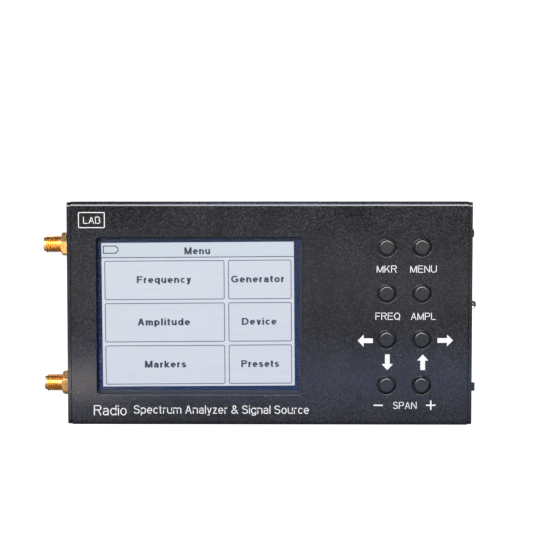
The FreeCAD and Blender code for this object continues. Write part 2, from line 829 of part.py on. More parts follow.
def battery():
    """The cell, its two adhesive pads on the rear shell, its leads, plug and socket."""
    plate_piece("battery", "battery_front", "battery_back", "battery_x", "battery_z", "battery_width",
                "battery_height", "battery_round")
    pads = []
    for side in (-1, 1):
        x = f"battery_x + {side} * pad_reach"
        low = (f"{x} - pad_width / 2", "battery_back", "battery_z - pad_reach")
        high = (f"{x} + pad_width / 2", "rear_wall", "battery_z + pad_reach")
        pads.append(block(f"battery_pad_{side + 1}", low, high))
    group("battery_pads", pads)

    middle = "(battery_front + battery_back) / 2"
    leads = []
    for side in (-1, 1):
        body = new_body(f"battery_lead_{side + 1}", keep=False)
        lead_z = f"lead_z + {side} * lead_pitch / 2"
        route = sketch_on(body, "route", "XY", lead_z)
        corners = [("battery_x + battery_width / 2", middle), ("plug_x", middle), ("plug_x", "plug_back")]
        outline(route, corners, {1: "lead_bend"}, closed=False)
        section = sketch_on(body, "section", "YZ", "battery_x + battery_width / 2")
        circle(section, middle, lead_z, "lead_radius")
        pipe = body.newObject("PartDesign::AdditivePipe", body.Label + "_pipe")
        pipe.Profile = section
        pipe.Spine = (route, [f"Edge{number + 1}" for number in range(3)])
        leads.append(body)
    group("battery_leads", leads)

    low = ("plug_x - plug_width / 2", "board_back + plug_lift", "lead_z - plug_height / 2")
    high = ("plug_x + plug_width / 2", "plug_back", "lead_z + plug_height / 2")
    node(block("battery_plug", low, high), "battery_plug")
    body = new_body("battery_socket")
    wall = "2 * (socket_wall + plug_gap)"
    base = sketch_on(body, "base", "XZ", "board_back + plug_lift + plug_length / 2")
    centred(base, "plug_x", "lead_z", f"plug_width + {wall}", f"plug_height + {wall}")
    pad(body, base, "plug_lift + plug_length / 2")
    mouth = sketch_on(body, "mouth", "XZ", "board_back + plug_lift")
    centred(mouth, "plug_x", "lead_z", "plug_width + 2 * plug_gap", "plug_height + 2 * plug_gap")
    pocket(body, mouth, "plug_length / 2")


# --- front keys ---------------------------------------------------------------------------------

def key_x(column):
    """Where a column of keys is."""
    return f"key_x + {column} * key_pitch_x"


def key_z(row):
    """Where a row of keys is, counted down from the top one."""
    return f"key_top_z - {row} * key_pitch_z"


def front_key(label, column, row):
    """A turned key cap with a collar behind the wall, and the switch plunger that it sits on."""
    cap = new_body(label)
    profile = sketch_on(cap, "profile", "XY", "0")
    socket = "plunger_radius + plunger_fit"
    corners = [("0", "key_front"), ("key_radius", "key_front"), ("key_radius", "collar_front"),
               ("collar_radius", "collar_front"), ("collar_radius", "collar_back"), (socket, "collar_back"),
               (socket, "key_socket"), ("0", "key_socket")]
    outline(profile, corners, {1: "key_round"})
    turned(cap, profile, "V")
    place(cap, key_x(column), "0", key_z(row))
    start = "key_socket + plunger_fit"
    plunger = rod(label + "_plunger", "plunger_radius", f"switch_front + plunger_engage - ({start})",
                  (key_x(column), start, key_z(row)), "Y")
    node(plunger, label.replace("key_", "plunger_"))


def key_switches():
    """The eight push switches under the keys, each with a well for its plunger."""
    pieces = []
    for label, (column, row) in KEYS.items():
        x, z = key_x(column), key_z(row)
        low = (f"{x} - switch_side / 2", "switch_front", f"{z} - switch_side / 2")
        high = (f"{x} + switch_side / 2", "display_front", f"{z} + switch_side / 2")
        base = block(label + "_switch_base", low, high)
        well = rod(label + "_switch_well", "plunger_radius + plunger_fit", "plunger_engage + plunger_room",
                   (x, "switch_front", z), "Y")
        pieces.append(cut(label + "_switch", base, well))
    group("key_switches", pieces)


# --- left side: coaxial jacks -------------------------------------------------------------------

def jack(name, jack_z):
    """A coaxial jack turned from brass, with its insulator and centre contact.

    Its thread is drawn smooth: at the crest outside the nut, and at the pitch line inside it."""
    body = new_body(name + "_jack_body")
    profile = sketch_on(body, "profile", "XY", "0")
    shoulder = "-shell_half"
    inner = "flange_thick - shell_half"
    corners = [("jack_tip", "jack_mouth"), ("jack_floor", "jack_mouth"), ("jack_floor", "insulator_radius"),
               (inner, "insulator_radius"), (inner, "flange_radius"), (shoulder, "flange_radius"),
               (shoulder, "jack_thread - pitch_depth"), ("nut_face", "jack_thread - pitch_depth"),
               ("nut_face", "jack_thread"), ("jack_tip + pilot_length", "jack_thread"),
               ("jack_tip + pilot_length", "pilot_radius"), ("jack_tip", "pilot_radius")]
    outline(profile, corners)
    turned(body, profile, "H")
    legs = sketch_on(body, "legs", "YZ", inner + " - flange_thick / 2")
    for low_y in ("-tail_radius - main_board_thick - leg_side", "-tail_radius"):
        for side in (-1, 1):
            low_z = f"{side} * leg_spread - leg_side / 2"
            rectangle(legs, (low_y, low_z), (f"{low_y} + leg_side", f"{low_z} + leg_side"))
    pad(body, legs, "flange_thick / 2 + tail_length")
    place(body, "0", "jack_axis", jack_z)

    insulator = new_body(name + "_jack_insulator")
    ring = sketch_on(insulator, "profile", "XY", "0")
    outline(ring, [("jack_floor", "contact_radius"), (inner, "contact_radius"),
                   (inner, "insulator_radius"), ("jack_floor", "insulator_radius")])
    turned(insulator, ring, "H")
    place(insulator, "0", "jack_axis", jack_z)

    contact = new_body(name + "_jack_contact")
    pin = sketch_on(contact, "profile", "XY", "0")
    outline(pin, [("jack_floor + contact_bore_depth", "0"), (f"{inner} + tail_length", "0"),
                  (f"{inner} + tail_length", "tail_radius"), (inner, "tail_radius"),
                  (inner, "contact_radius"), ("jack_floor", "contact_radius"),
                  ("jack_floor", "contact_bore"), ("jack_floor + contact_bore_depth", "contact_bore")])
    turned(contact, pin, "H")
    place(contact, "0", "jack_axis", jack_z)


def jack_fasteners():
    """A washer and a hex nut on each jack, outside the plate; the nuts stand as they were tightened."""
    washers = []
    nuts = []
    for name, jack_z in (("high", "jack_high_z"), ("low", "jack_low_z")):
        at = ("-plate_outer", "jack_axis", jack_z)
        ring = rod(name + "_washer_ring", "washer_radius", "washer_thick", at, "X", back=True)
        hole = rod(name + "_washer_hole", "jack_thread + panel_hole_gap", "washer_thick", at, "X", back=True)
        washers.append(cut(name + "_washer", ring, hole))
        at = ("nut_start", "jack_axis", jack_z)
        hexagon = doc.addObject("Part::Prism", name + "_nut_hexagon")
        hexagon.Polygon = 6
        bind(hexagon, Circumradius="nut_corner", Height="nut_thick")
        # a corner points up, and the turn brings it to the front and then up again
        spin = FreeCAD.Rotation(AXES["X"], 90 - value(name + "_nut_turn"))
        place(hexagon, *at, turn=spin.multiply(facing("X", back=True)))
        tip = doc.addObject("Part::Cone", name + "_nut_chamfer")
        bind(tip, Radius1="jack_thread + nut_wall + nut_chamfer_run", Radius2="jack_thread + nut_wall",
             Height="nut_thick")
        place(tip, *at, turn=facing("X", True))
        common = doc.addObject("Part::MultiCommon", name + "_nut_outside")
        common.Shapes = [hexagon, tip]
        bore = rod(name + "_nut_bore", "jack_thread - pitch_depth", "nut_thick", at, "X", back=True)
        nuts.append(cut(name + "_nut", common, bore))
    group("jack_washers", washers)
    group("jack_nuts", nuts)


# --- right side: key, lamp, charging socket, power switch ---------------------------------------

def side_key():
    """The small round key in the right plate, and the switch behind it."""
    body = new_body("side_key")
    profile = sketch_on(body, "profile", "XY", "0")
    end = "plate_outer + side_key_proud"
    collar = "shell_half - collar_gap"
    corners = [("side_switch_front + side_key_travel_room", "0"), (end, "0"), (end, "side_key_radius"),
               (collar, "side_key_radius"), (collar, "side_key_collar"),
               (f"{collar} - collar_thick", "side_key_collar"), (f"{collar} - collar_thick", "side_key_radius"),
               ("side_switch_front + side_key_travel_room", "side_key_radius")]
    outline(profile, corners, {2: "key_round"})
    turned(body, profile, "H")
    place(body, "0", "side_y", "side_key_z")
    low = ("side_switch_front - side_switch_length", "board_front - side_switch_deep",
           "side_key_z - switch_side / 2")
    high = ("side_switch_front", "board_front", "side_key_z + switch_side / 2")
    node(block("side_switch", low, high), "side_switch")


def lamp():
    """The clear status lamp, lying on its side, and its two leads to the board."""
    body = new_body("status_lamp")
    profile = sketch_on(body, "profile", "XY", "0")
    rim = "shell_half - led_set_back"
    base = f"{rim} - led_flange_thick"
    tip = f"{rim} + led_length"
    corners = [(base, "0"), (tip, "0"), (tip, "led_radius"), (rim, "led_radius"), (rim, "led_flange"),
               (base, "led_flange")]
    outline(profile, corners, {2: "led_radius - 0.05"})
    turned(body, profile, "H")
    place(body, "0", "side_y", "led_z")
    leads = []
    for side in (-1, 1):
        low_z = f"led_z + {side} * led_lead_pitch - lead_side / 2"
        run_low = (f"{base} - 3", "side_y - lead_side / 2", low_z)
        run_high = (base, "side_y + lead_side / 2", f"{low_z} + lead_side")
        drop_high = (f"{base} - 3 + lead_side", "board_front", f"{low_z} + lead_side")
        name = f"lamp_lead_{side + 1}"
        pieces = [block(name + "_run", run_low, run_high), block(name + "_drop", run_low, drop_high)]
        leads.append(fuse(name, pieces))
    group("lamp_leads", leads)


def charging_socket():
    """The USB-C socket: a drawn steel shell, and the plastic tongue on its back wall."""
    shell = new_body("charging_socket_shell")
    tube = sketch_on(shell, "tube", "YZ", "usb_floor")
    inner = ("usb_height - 2 * usb_wall", "usb_width - 2 * usb_wall")
    centred(tube, "side_y", "usb_z", "usb_height", "usb_width", "usb_corner")
    pad(shell, tube, "usb_length")
    bore = sketch_on(shell, "bore", "YZ", "usb_mouth")
    centred(bore, "side_y", "usb_z", *inner, "usb_corner - usb_wall")
    pocket(shell, bore, "usb_length - usb_wall")
    tongue = new_body("charging_socket_tongue")
    base = sketch_on(tongue, "base", "YZ", "usb_floor + usb_wall")
    fitted = [f"{side} - 2 * lid_gap" for side in inner]
    centred(base, "side_y", "usb_z", *fitted, "usb_corner - usb_wall - lid_gap")
    pad(tongue, base, "usb_length - usb_wall - usb_sink - tongue_reach - 1")
    blade = sketch_on(tongue, "blade", "YZ", "usb_floor + usb_wall")
    centred(blade, "side_y", "usb_z", "tongue_height", "tongue_width")
    pad(tongue, blade, "usb_length - usb_wall - usb_sink - 1")


def power_switch():
    """The slide switch: its frame on the main board, and the knob that runs in it."""
    frame = new_body("power_switch_frame")
    outside = sketch_on(frame, "outside", "YZ", "slide_frame_front - slide_frame_length")
    low_z = "knob_z - knob_height / 2"
    high_z = "knob_z + knob_height / 2 + knob_travel"
    rectangle(outside, ("board_front - slide_frame_deep", f"{low_z} - slide_frame_wall"),
              ("board_front", f"{high_z} + slide_frame_wall"))
    pad(frame, outside, "slide_frame_length")
    channel = sketch_on(frame, "channel", "YZ", "slide_frame_front")
    rectangle(channel, ("side_y - knob_width / 2 - knob_fit", f"{low_z} - knob_fit"),
              ("side_y + knob_width / 2 + knob_fit", f"{high_z} + knob_fit"))
    pocket(frame, channel, "knob_root + knob_fit")

    knob = new_body("power_switch_knob")
    stem = sketch_on(knob, "stem", "YZ", "slide_frame_front - knob_root")
    centred(stem, "side_y", "knob_z", "knob_width", "knob_height")
    pad(knob, stem, "knob_root + slide_frame_gap + plate_thick + knob_proud")


front_shell()
rear_shell()
end_plate("left_end_plate", "-plate_outer", jack_holes)
end_plate("right_end_plate", "plate_outer", control_holes)
plate_screws("left_plate_screws", "-plate_outer", back=False)
plate_screws("right_plate_screws", "plate_outer", back=True)
screen()
ribbon()
display_board()
main_board()
board_fasteners()
board_parts()
battery()
key_switches()
for key, (key_column, key_row) in KEYS.items():
    front_key(key, key_column, key_row)
jack("high", "jack_high_z")
jack("low", "jack_low_z")
jack_fasteners()
side_key()
lamp()
charging_socket()
power_switch()
doc.recompute()

for item in doc.Objects:
    if "Invalid" in item.State or "Error" in item.State:
        raise ValueError(f"{item.Label} failed: {item.State}")
for item in nodes:
    if item.Shape.isNull() or not item.Shape.isValid() or not item.Shape.Solids:
        raise ValueError(f"{item.Label} is not a valid solid")

os.makedirs("parts", exist_ok=True)
for item in nodes:
    item.Shape.exportStep(f"parts/{item.Label}.step")
print(len(nodes), "sub-parts written")
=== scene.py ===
# %% [markdown]
# # A hand-held spectrum analyzer, dressed in Blender
#
# The engineering model gives every piece of this instrument its size and place: a split aluminium case, two
# end plates, a lit display behind a touch panel, eight round keys and two gold coaxial jacks. This lesson
# leaves those pieces where they are and gives them what the eye looks for: finishes, screw threads,
# printing and a picture on the display. Cell by cell it goes from the camera and the light to the smallest
# printed letter.

# %% Load the engineering model
import math
from functools import partial

import bmesh
import bpy
import numpy as np
from mathutils import Matrix, Vector


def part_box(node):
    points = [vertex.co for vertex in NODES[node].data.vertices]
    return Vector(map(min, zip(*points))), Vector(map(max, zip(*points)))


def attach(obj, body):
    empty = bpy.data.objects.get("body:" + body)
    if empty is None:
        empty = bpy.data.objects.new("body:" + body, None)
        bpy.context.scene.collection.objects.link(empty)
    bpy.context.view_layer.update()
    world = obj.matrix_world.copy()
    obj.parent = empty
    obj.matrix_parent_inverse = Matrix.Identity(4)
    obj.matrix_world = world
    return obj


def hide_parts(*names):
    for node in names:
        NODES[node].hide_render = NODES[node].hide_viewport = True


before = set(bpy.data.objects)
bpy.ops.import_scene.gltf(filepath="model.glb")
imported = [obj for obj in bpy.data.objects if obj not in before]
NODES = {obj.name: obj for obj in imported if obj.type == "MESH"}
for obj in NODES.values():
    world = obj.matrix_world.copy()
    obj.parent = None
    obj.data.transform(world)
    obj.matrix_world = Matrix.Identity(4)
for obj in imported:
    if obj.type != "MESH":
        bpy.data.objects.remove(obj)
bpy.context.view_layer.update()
MM = 0.001

# %% [markdown]
# Most places come from the pieces themselves. `low` and `high` read one coordinate of a piece's box, in
# millimetres, because this object is drawn in millimetres and only the meshes are in metres. X runs to the
# right, Y runs away from the viewer, and Z runs up from the bottom face.

# %% Places of the pieces
AXES = {"x": 0, "y": 1, "z": 2}


def low(node, axis):
    """The lowest coordinate of an engineering piece along an axis, in millimetres."""
    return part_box(node)[0][AXES[axis]] / MM


def high(node, axis):
    """The highest coordinate of an engineering piece along an axis, in millimetres."""
    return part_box(node)[1][AXES[axis]] / MM


def middle(node, axis):
    """The middle of an engineering piece along an axis, in millimetres."""
    return (low(node, axis) + high(node, axis)) / 2


FACE_Y = low("front_shell", "y")
GLASS_Y = low("display_glass", "y")
print("front face at y", round(FACE_Y, 2), "and display at y", round(GLASS_Y, 2))

# %% [markdown]
# ## Camera
#
# A small instrument for a catalogue is shot with a portrait lens, level with its top edge, so its sides
# stay almost parallel and no top face shows. The camera stands 0.48 m from the front face, looks down by 3
# degrees and is turned less than a degree to the left. A camera looks along its own -Z, so its turn is
# built from the three directions right, up and back.

# %% Camera
CAMERA_PLACE = np.array([4.898, -492.991, 82.741]) * MM
PITCH = math.radians(2.983)
YAW = math.radians(-0.706)
ROLL = math.radians(-0.015)
LENS_MM = 89.9

camera_data = bpy.data.cameras.new("camera")
camera_data.lens = LENS_MM
camera_data.sensor_width = 36.0
camera_data.clip_start = 0.01
camera = bpy.data.objects.new("camera", camera_data)
level = math.cos(PITCH)
forward = np.array([math.sin(YAW) * level, math.cos(YAW) * level, -math.sin(PITCH)])
right = np.cross(forward, [0, 0, 1])
right /= np.linalg.norm(right)
up = np.cross(right, forward)
turned_right = right * math.cos(ROLL) + up * math.sin(ROLL)
turned_up = up * math.cos(ROLL) - right * math.sin(ROLL)
turn = np.array([turned_right, turned_up, -forward]).T
rows = [(*row, place) for row, place in zip(turn, CAMERA_PLACE)]
camera.matrix_world = Matrix(rows + [(0, 0, 0, 1)])
bpy.context.scene.collection.objects.link(camera)
bpy.context.scene.camera = camera
print("camera stands at", [round(c, 3) for c in camera.location])

# %% [markdown]
# ## Meshes from arrays
#
# Each new piece is a grid of points worked out with numpy: a row for each step along one parameter and a
# column for each step along the other. One helper turns such a grid into a mesh. It can join the last row
# or column to the first, as on a ring, and close the ends of a tube with a flat cap.

# %% Grid to mesh
def outward(mesh):
    """Merge doubled points, then turn every face of a closed mesh outwards."""
    shape = bmesh.new()
    shape.from_mesh(mesh)
    bmesh.ops.remove_doubles(shape, verts=shape.verts, dist=0.0001 * MM)
    bmesh.ops.recalc_face_normals(shape, faces=shape.faces)
    shape.to_mesh(mesh)
    shape.free()


def add_piece(name, mesh, finish, smooth=None):
    """Make a closed mesh a piece of the instrument: faces outwards, finish on, riding on the case."""
    outward(mesh)
    mesh.materials.append(finish)
    if smooth is not None:
        mesh.polygons.foreach_set("use_smooth", np.ones(len(mesh.polygons), bool))
        mesh.set_sharp_from_angle(angle=math.radians(smooth))
    piece = bpy.data.objects.new(name, mesh)
    bpy.context.scene.collection.objects.link(piece)
    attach(piece, "case")
    print(name, "has", len(mesh.polygons), "faces")
    return piece


def grid_faces(rows, columns, wrap_rows, wrap_columns, first=0):
    """The four-cornered faces of a grid: each joins a point to the next in its row and in the row after."""
    r = np.arange(rows if wrap_rows else rows - 1)[:, None]
    c = np.arange(columns if wrap_columns else columns - 1)[None, :]
    next_r, next_c = (r + 1) % rows, (c + 1) % columns
    corners = [r * columns + c, r * columns + next_c, next_r * columns + next_c, next_r * columns + c]
    return np.stack(np.broadcast_arrays(*corners), axis=-1).reshape(-1, 4) + first


def grids_to_mesh(name, grids, wrap_rows=False, wrap_columns=True, caps=False):
    """One mesh from several grids of points in millimetres, each of shape (rows, columns, 3)."""
    points, faces, first = [], [], 0
    for grid in grids:
        rows, columns = grid.shape[:2]
        points.append(grid.reshape(-1, 3) * MM)
        faces += grid_faces(rows, columns, wrap_rows, wrap_columns, first).tolist()
        if caps:
            faces.append((np.arange(columns)[::-1] + first).tolist())
            faces.append((np.arange(columns) + first + (rows - 1) * columns).tolist())
        first += rows * columns
    mesh = bpy.data.meshes.new(name)
    mesh.from_pydata(np.concatenate(points).tolist(), [], faces)
    mesh.update()
    return mesh


print("a 3 x 4 ring has", len(grid_faces(3, 4, False, True)), "faces")

# %% [markdown]
# ## Studio
#
# The instrument stands on a pale floor that rises behind it in one sweep, so no horizon line shows. The
# sweep is a profile carried sideways: flat, then a quarter circle, then a wall. It is as pale as the room,
# so it melts into it, and only a soft contact shadow is left under the case.

# %% Floor sweep
SWEEP_FRONT, SWEEP_BACK, SWEEP_HALF = -2600.0, 1500.0, 2600.0
SWEEP_RADIUS, SWEEP_HEIGHT = 700.0, 1500.0


def floor_sweep():
    """A profile in Y and Z (level, then a quarter circle of SWEEP_RADIUS, then upright) carried along X."""
    turn = np.linspace(-np.pi / 2, 0, 33)
    wall = SWEEP_BACK + SWEEP_RADIUS
    profile_y = np.concatenate([[SWEEP_FRONT], SWEEP_BACK + SWEEP_RADIUS * np.cos(turn), [wall]])
    profile_z = np.concatenate([[0], SWEEP_RADIUS * (1 + np.sin(turn)), [SWEEP_HEIGHT]])
    x, y = np.meshgrid(np.linspace(-SWEEP_HALF, SWEEP_HALF, 9), profile_y, indexing="ij")
    return np.stack([x, y, np.broadcast_to(profile_z, x.shape)], axis=-1)


# %% [markdown]
# Nodes all follow one recipe: make the node, change its settings, then give each input either a plain value
# or another node's output. Colours are given as screen colours, and Blender mixes light in linear
# values, so every hex colour goes through the same curve that a screen uses.

# %% Node helper and colour
def linear(hexadecimal, alpha=1.0):
    """A colour written as #rrggbb in sRGB, as linear red, green, blue and alpha."""
    srgb = np.array([int(hexadecimal[i:i + 2], 16) for i in (1, 3, 5)]) / 255
    channels = np.where(srgb <= 0.04045, srgb / 12.92, ((srgb + 0.055) / 1.055) ** 2.4)
    return (*channels.tolist(), alpha)


def add(tree, kind, inputs, **settings):
    """One new node: its settings, then each input linked, if it is another node's output, or set."""
    node = tree.nodes.new(kind)
    for name, setting in settings.items():
        setattr(node, name, setting)
    for name, source in inputs.items():
        if isinstance(source, bpy.types.NodeSocket):
            tree.links.new(source, node.inputs[name])
        else:
            node.inputs[name].default_value = source
    return node


def new_material(name, **plain):
    """A material with one Principled shader, whose even values are set on its own sockets."""
    material = bpy.data.materials.new(name)
    material.use_nodes = True
    tree = material.node_tree
    tree.nodes.clear()
    shader = add(tree, "ShaderNodeBsdfPrincipled", {k.replace("_", " "): v for k, v in plain.items()})
    add(tree, "ShaderNodeOutputMaterial", {"Surface": shader.outputs["BSDF"]})
    return material, tree, shader


def noise(tree, size_mm, detail=3.0, stretch=(1, 1, 1)):
    """Cloudy noise with lumps of size_mm, whose stretch makes them longer along an axis."""
    place = add(tree, "ShaderNodeTexCoord", {})
    scale = [1 / (size_mm * MM * s) for s in stretch]
    mapping = add(tree, "ShaderNodeMapping", {"Vector": place.outputs["Object"], "Scale": scale})
    return add(tree, "ShaderNodeTexNoise",
               {"Vector": mapping.outputs["Vector"], "Scale": 1.0, "Detail": detail}).outputs["Fac"]


def between(tree, factor, from_low, from_high, to_low, to_high):
    """A value that runs from to_low to to_high as factor runs from from_low to from_high."""
    return add(tree, "ShaderNodeMapRange", {"Value": factor, "From Min": from_low, "From Max": from_high,
                                            "To Min": to_low, "To Max": to_high}).outputs["Result"]


NOISE_RANGE = (0.3, 0.7)


def ranged(tree, grain, to_low, to_high):
    """A value that runs from to_low to to_high over the usual values of a noise."""
    return between(tree, grain, *NOISE_RANGE, to_low, to_high)


def two_tones(tree, factor, dark, light):
    """A colour between two hex colours, by a factor from 0 to 1."""
    mix = add(tree, "ShaderNodeMix", {0: factor, 6: linear(dark), 7: linear(light)}, data_type="RGBA")
    return mix.outputs[2]


def maths(tree, operation, first, second):
    """The result of one sum or comparison of two values."""
    return add(tree, "ShaderNodeMath", {0: first, 1: second}, operation=operation).outputs[0]


def bump(tree, shader, height, depth_mm):
    """Raise and lower the surface's shading by depth_mm as height goes from 0 to 1."""
    made = add(tree, "ShaderNodeBump", {"Height": height, "Distance": depth_mm * MM, "Strength": 1.0})
    tree.links.new(made.outputs["Normal"], shader.inputs["Normal"])


def dress(tree, shader, **patterns):
    """Link patterns to the shader's inputs, named with _ for each space."""
    for name, source in patterns.items():
        tree.links.new(source, shader.inputs[name.replace("_", " ")])


print("mid grey #808080 is", round(linear("#808080")[0], 3), "in linear light")

# %% [markdown]
# A studio has one large soft lamp that makes the form and weak light from everywhere else. Here a wide
# softbox stands 2 m away, above and behind the camera: rounded edges and keys mirror it, which draws the
# thin bright line along the top edge and the crescent on each key, and the grain of the coat catches it as
# sparkle. A cool lamp shines straight down on the paper in front of the case, and the lower part of the
# face mirrors that patch. A warm one does the same in front of the jacks, so that the undersides of the
# gold have something to mirror. Weak softboxes on both sides and behind show the other faces when the
# instrument is turned. The room is white where the camera looks at it and dim to everything else, which
# keeps the black case black.

# %% Light
ROOM_SEEN, SEEN_STRENGTH = "#ffffff", 1.05
ROOM_DIM = "#4c4e52"


def room():
    """World light: white to the camera, and a dim even grey to every other ray."""
    world = bpy.data.worlds.new("studio_room")
    world.use_nodes = True
    tree = world.node_tree
    tree.nodes.clear()
    path = add(tree, "ShaderNodeLightPath", {})
    seen = add(tree, "ShaderNodeBackground", {"Color": linear(ROOM_SEEN), "Strength": SEEN_STRENGTH})
    dim = add(tree, "ShaderNodeBackground", {"Color": linear(ROOM_DIM), "Strength": 1.0})
    mix = add(tree, "ShaderNodeMixShader", {0: path.outputs["Is Camera Ray"], 1: dim.outputs[0],
                                            2: seen.outputs[0]})
    add(tree, "ShaderNodeOutputWorld", {"Surface": mix.outputs[0]})
    bpy.context.scene.world = world


def softbox(name, place_mm, aim_mm, width_mm, height_mm, watts, colour="#ffffff", spread=180):
    """A rectangular area light at a place, turned to face a point, whose beam is spread degrees wide."""
    data = bpy.data.lights.new(name, "AREA")
    data.shape = "RECTANGLE"
    data.size, data.size_y = width_mm * MM, height_mm * MM
    data.energy = watts
    data.color = linear(colour)[:3]
    data.spread = math.radians(spread)
    lamp = bpy.data.objects.new(name, data)
    lamp.location = Vector(place_mm) * MM
    lamp.rotation_euler = (Vector(aim_mm) - Vector(place_mm)).to_track_quat("-Z", "Y").to_euler()
    lamp.visible_camera = False
    bpy.context.scene.collection.objects.link(lamp)


room()
softbox("softbox_over_camera", (-100, -2080, 860), (0, -10, 60), 2250, 1200, 112.0)
softbox("cool_on_paper", (-20, -150, 480), (-20, -149, 0), 420, 60, 1.3, "#a9c0ff", 36)
softbox("warm_on_paper", (-130, -130, 420), (-130, -129, 0), 60, 60, 0.7, "#ffe9cc", 24)
for side in (-1, 1):
    softbox("side_fill", (side * 1500, 0, 420), (0, 0, 40), 1000, 900, 6.0)
softbox("back_fill", (0, 1200, 700), (0, 0, 40), 1400, 600, 7.0)
bpy.context.scene.view_settings.view_transform = "Standard"

# %% [markdown]
# The sweep is matt paper. Its fibres scatter light evenly, so its roughness is high, and its faint
# unevenness is centimetres wide, too soft to see as a pattern. A glow, which only the camera sees, stands
# for the overexposure of a catalogue picture, so the grey paper turns white without flooding the case with
# light.

# %% Paper floor
def seamless_paper():
    """Seamless studio paper: an even grey without gloss, lifted to white for the camera."""
    material, tree, shader = new_material("seamless_paper", Roughness=0.9)
    cloud = noise(tree, 120.0)
    shader.inputs["Emission Color"].default_value = linear("#ffffff")
    path = add(tree, "ShaderNodeLightPath", {})
    dress(tree, shader, Base_Color=two_tones(tree, cloud, "#747474", "#787878"),
          Emission_Strength=path.outputs["Is Camera Ray"])
    return material


sweep_mesh = grids_to_mesh("floor_sweep", [floor_sweep()], wrap_columns=False)
sweep_mesh.materials.append(seamless_paper())
sweep_mesh.polygons.foreach_set("use_smooth", np.ones(len(sweep_mesh.polygons), bool))
sweep = bpy.data.objects.new("floor_sweep", sweep_mesh)
bpy.context.scene.collection.objects.link(sweep)
print("sweep faces:", len(sweep_mesh.polygons))

# %% [markdown]
# ## Finishes
#
# Most finishes here differ only in colour, gloss and the size of their grain, so one function makes them:
# cloudy noise of a real grain size changes the colour between two tones, the roughness by a little, and the
# bump by the grain's height. What each real finish is, and what it gives the eye, stands beside its call.

# %% A grained finish
def grained(name, dark, light, roughness, grain_mm, relief_mm, spread=0.06, stretch=(1, 1, 1), **plain):
    """A finish whose colour, gloss and height all follow one noise of grain_mm lumps."""
    material, tree, shader = new_material(name, **plain)
    grain = noise(tree, grain_mm, stretch=stretch)
    dress(tree, shader, Base_Color=two_tones(tree, ranged(tree, grain, 0, 1), dark, light),
          Roughness=ranged(tree, grain, roughness - spread, roughness + spread))
    bump(tree, shader, grain, relief_mm)
    return material


print("a finish reads its noise from", NOISE_RANGE[0], "to", NOISE_RANGE[1])

# %% [markdown]
# The case is extruded aluminium with a black powder coat. Powder is sprayed on dry and baked, and it melts
# into a fine orange-peel grain that breaks every reflection into specks: that sparkle is what tells it from
# plain black plastic. The real grain is about 0.15 mm; it is drawn at 0.55 mm, as coarse as it needs to be
# to show. A second, slower noise adds the faint clouds of an uneven coat. The walls of the holes and of the
# window get painted shade: a mask marks what lies behind the front face and away from the outer edges, and
# there the coat turns darker, matt and barely glossy, which paints the black ring round every key.

# %% Black powder coat
# painted shade: from 0.12 mm to 4 mm behind the front face, and more than 3 mm inside its outer edges, the
# coat is darkened and made matt
PAINTED_SHADE_DEPTH, WALL_DEPTH, EDGE_BAND = 0.12, 4.0, 3.0


def recess_shade_mask(tree):
    """The mask of painted shade in recesses: 1 where a point lies between the two depths behind the front
    face and inside its borders, else 0.
    """
    place = add(tree, "ShaderNodeTexCoord", {})
    axes = add(tree, "ShaderNodeSeparateXYZ", {"Vector": place.outputs["Object"]})
    limits = {"Y": (FACE_Y + PAINTED_SHADE_DEPTH, FACE_Y + WALL_DEPTH)}
    for axis in ("x", "z"):
        limits[axis.upper()] = (low("front_shell", axis) + EDGE_BAND, high("front_shell", axis) - EDGE_BAND)
    inside = 1.0
    for axis, (start, end) in limits.items():
        for comparison, limit in (("GREATER_THAN", start), ("LESS_THAN", end)):
            test = maths(tree, comparison, axes.outputs[axis], limit * MM)
            inside = maths(tree, "MULTIPLY", inside, test)
    return inside


def powder_coat():
    """Black powder coat: a near-black resin whose fine grain scatters the gloss, with painted shade, darker
    and matt, on the walls of the holes and the window.
    """
    material, tree, shader = new_material("black_powder_coat", IOR=1.5)
    grain = noise(tree, 0.55, detail=2.0)
    cloud = noise(tree, 14.0, detail=2.0)
    both = maths(tree, "ADD", grain, ranged(tree, cloud, -0.06, 0.06))
    inside = recess_shade_mask(tree)
    coat = two_tones(tree, ranged(tree, both, 0, 1), "#010102", "#222226")
    # painted shade: inside the mask the coat turns to a flat darker black, fully rough and barely glossy
    wall = add(tree, "ShaderNodeMix", {0: inside, 6: coat, 7: linear("#020202")}, data_type="RGBA")
    gloss = ranged(tree, both, 0.08, 0.15)
    dress(tree, shader, Base_Color=wall.outputs[2], Roughness=maths(tree, "MAXIMUM", gloss, inside),
          Specular_IOR_Level=between(tree, inside, 0, 1, 0.5, 0.1))
    bump(tree, shader, grain, 0.018)
    return material


CASE_COAT = powder_coat()
print("coat:", CASE_COAT.name)

# %% [markdown]
# The jacks are turned from brass and plated with nickel and gold. Plated gold is a soft mirror: the lathe's
# feed marks stay under the plating as fine rings round the axis, which spread highlights along the barrel.
# A feed mark is about 0.05 mm; it is drawn at 0.2 mm. The colour drifts a little, paler where the plating
# is rubbed.

# %% Gold plate
def gold_plate():
    """Polished gold over turned brass: metal with rings of feed marks round the X axis."""
    material, tree, shader = new_material("gold_plated_brass", Metallic=1.0)
    rings = noise(tree, 0.2, detail=2.0, stretch=(1, 12, 12))
    wear = noise(tree, 2.5)
    worn = between(tree, wear, 0.35, 0.65, 0, 1)
    dress(tree, shader, Base_Color=two_tones(tree, worn, "#f6b65a", "#fdd08a"),
          Roughness=ranged(tree, rings, 0.24, 0.34))
    bump(tree, shader, rings, 0.006)
    return material


GOLD = gold_plate()
print("gold:", GOLD.name)

# %% [markdown]
# The rest of the finishes are listed in one table, named for the pieces' own slots in the engineering
# model. Plastics and coatings take IOR values near 1.5, and bare metals keep the shader's own value.

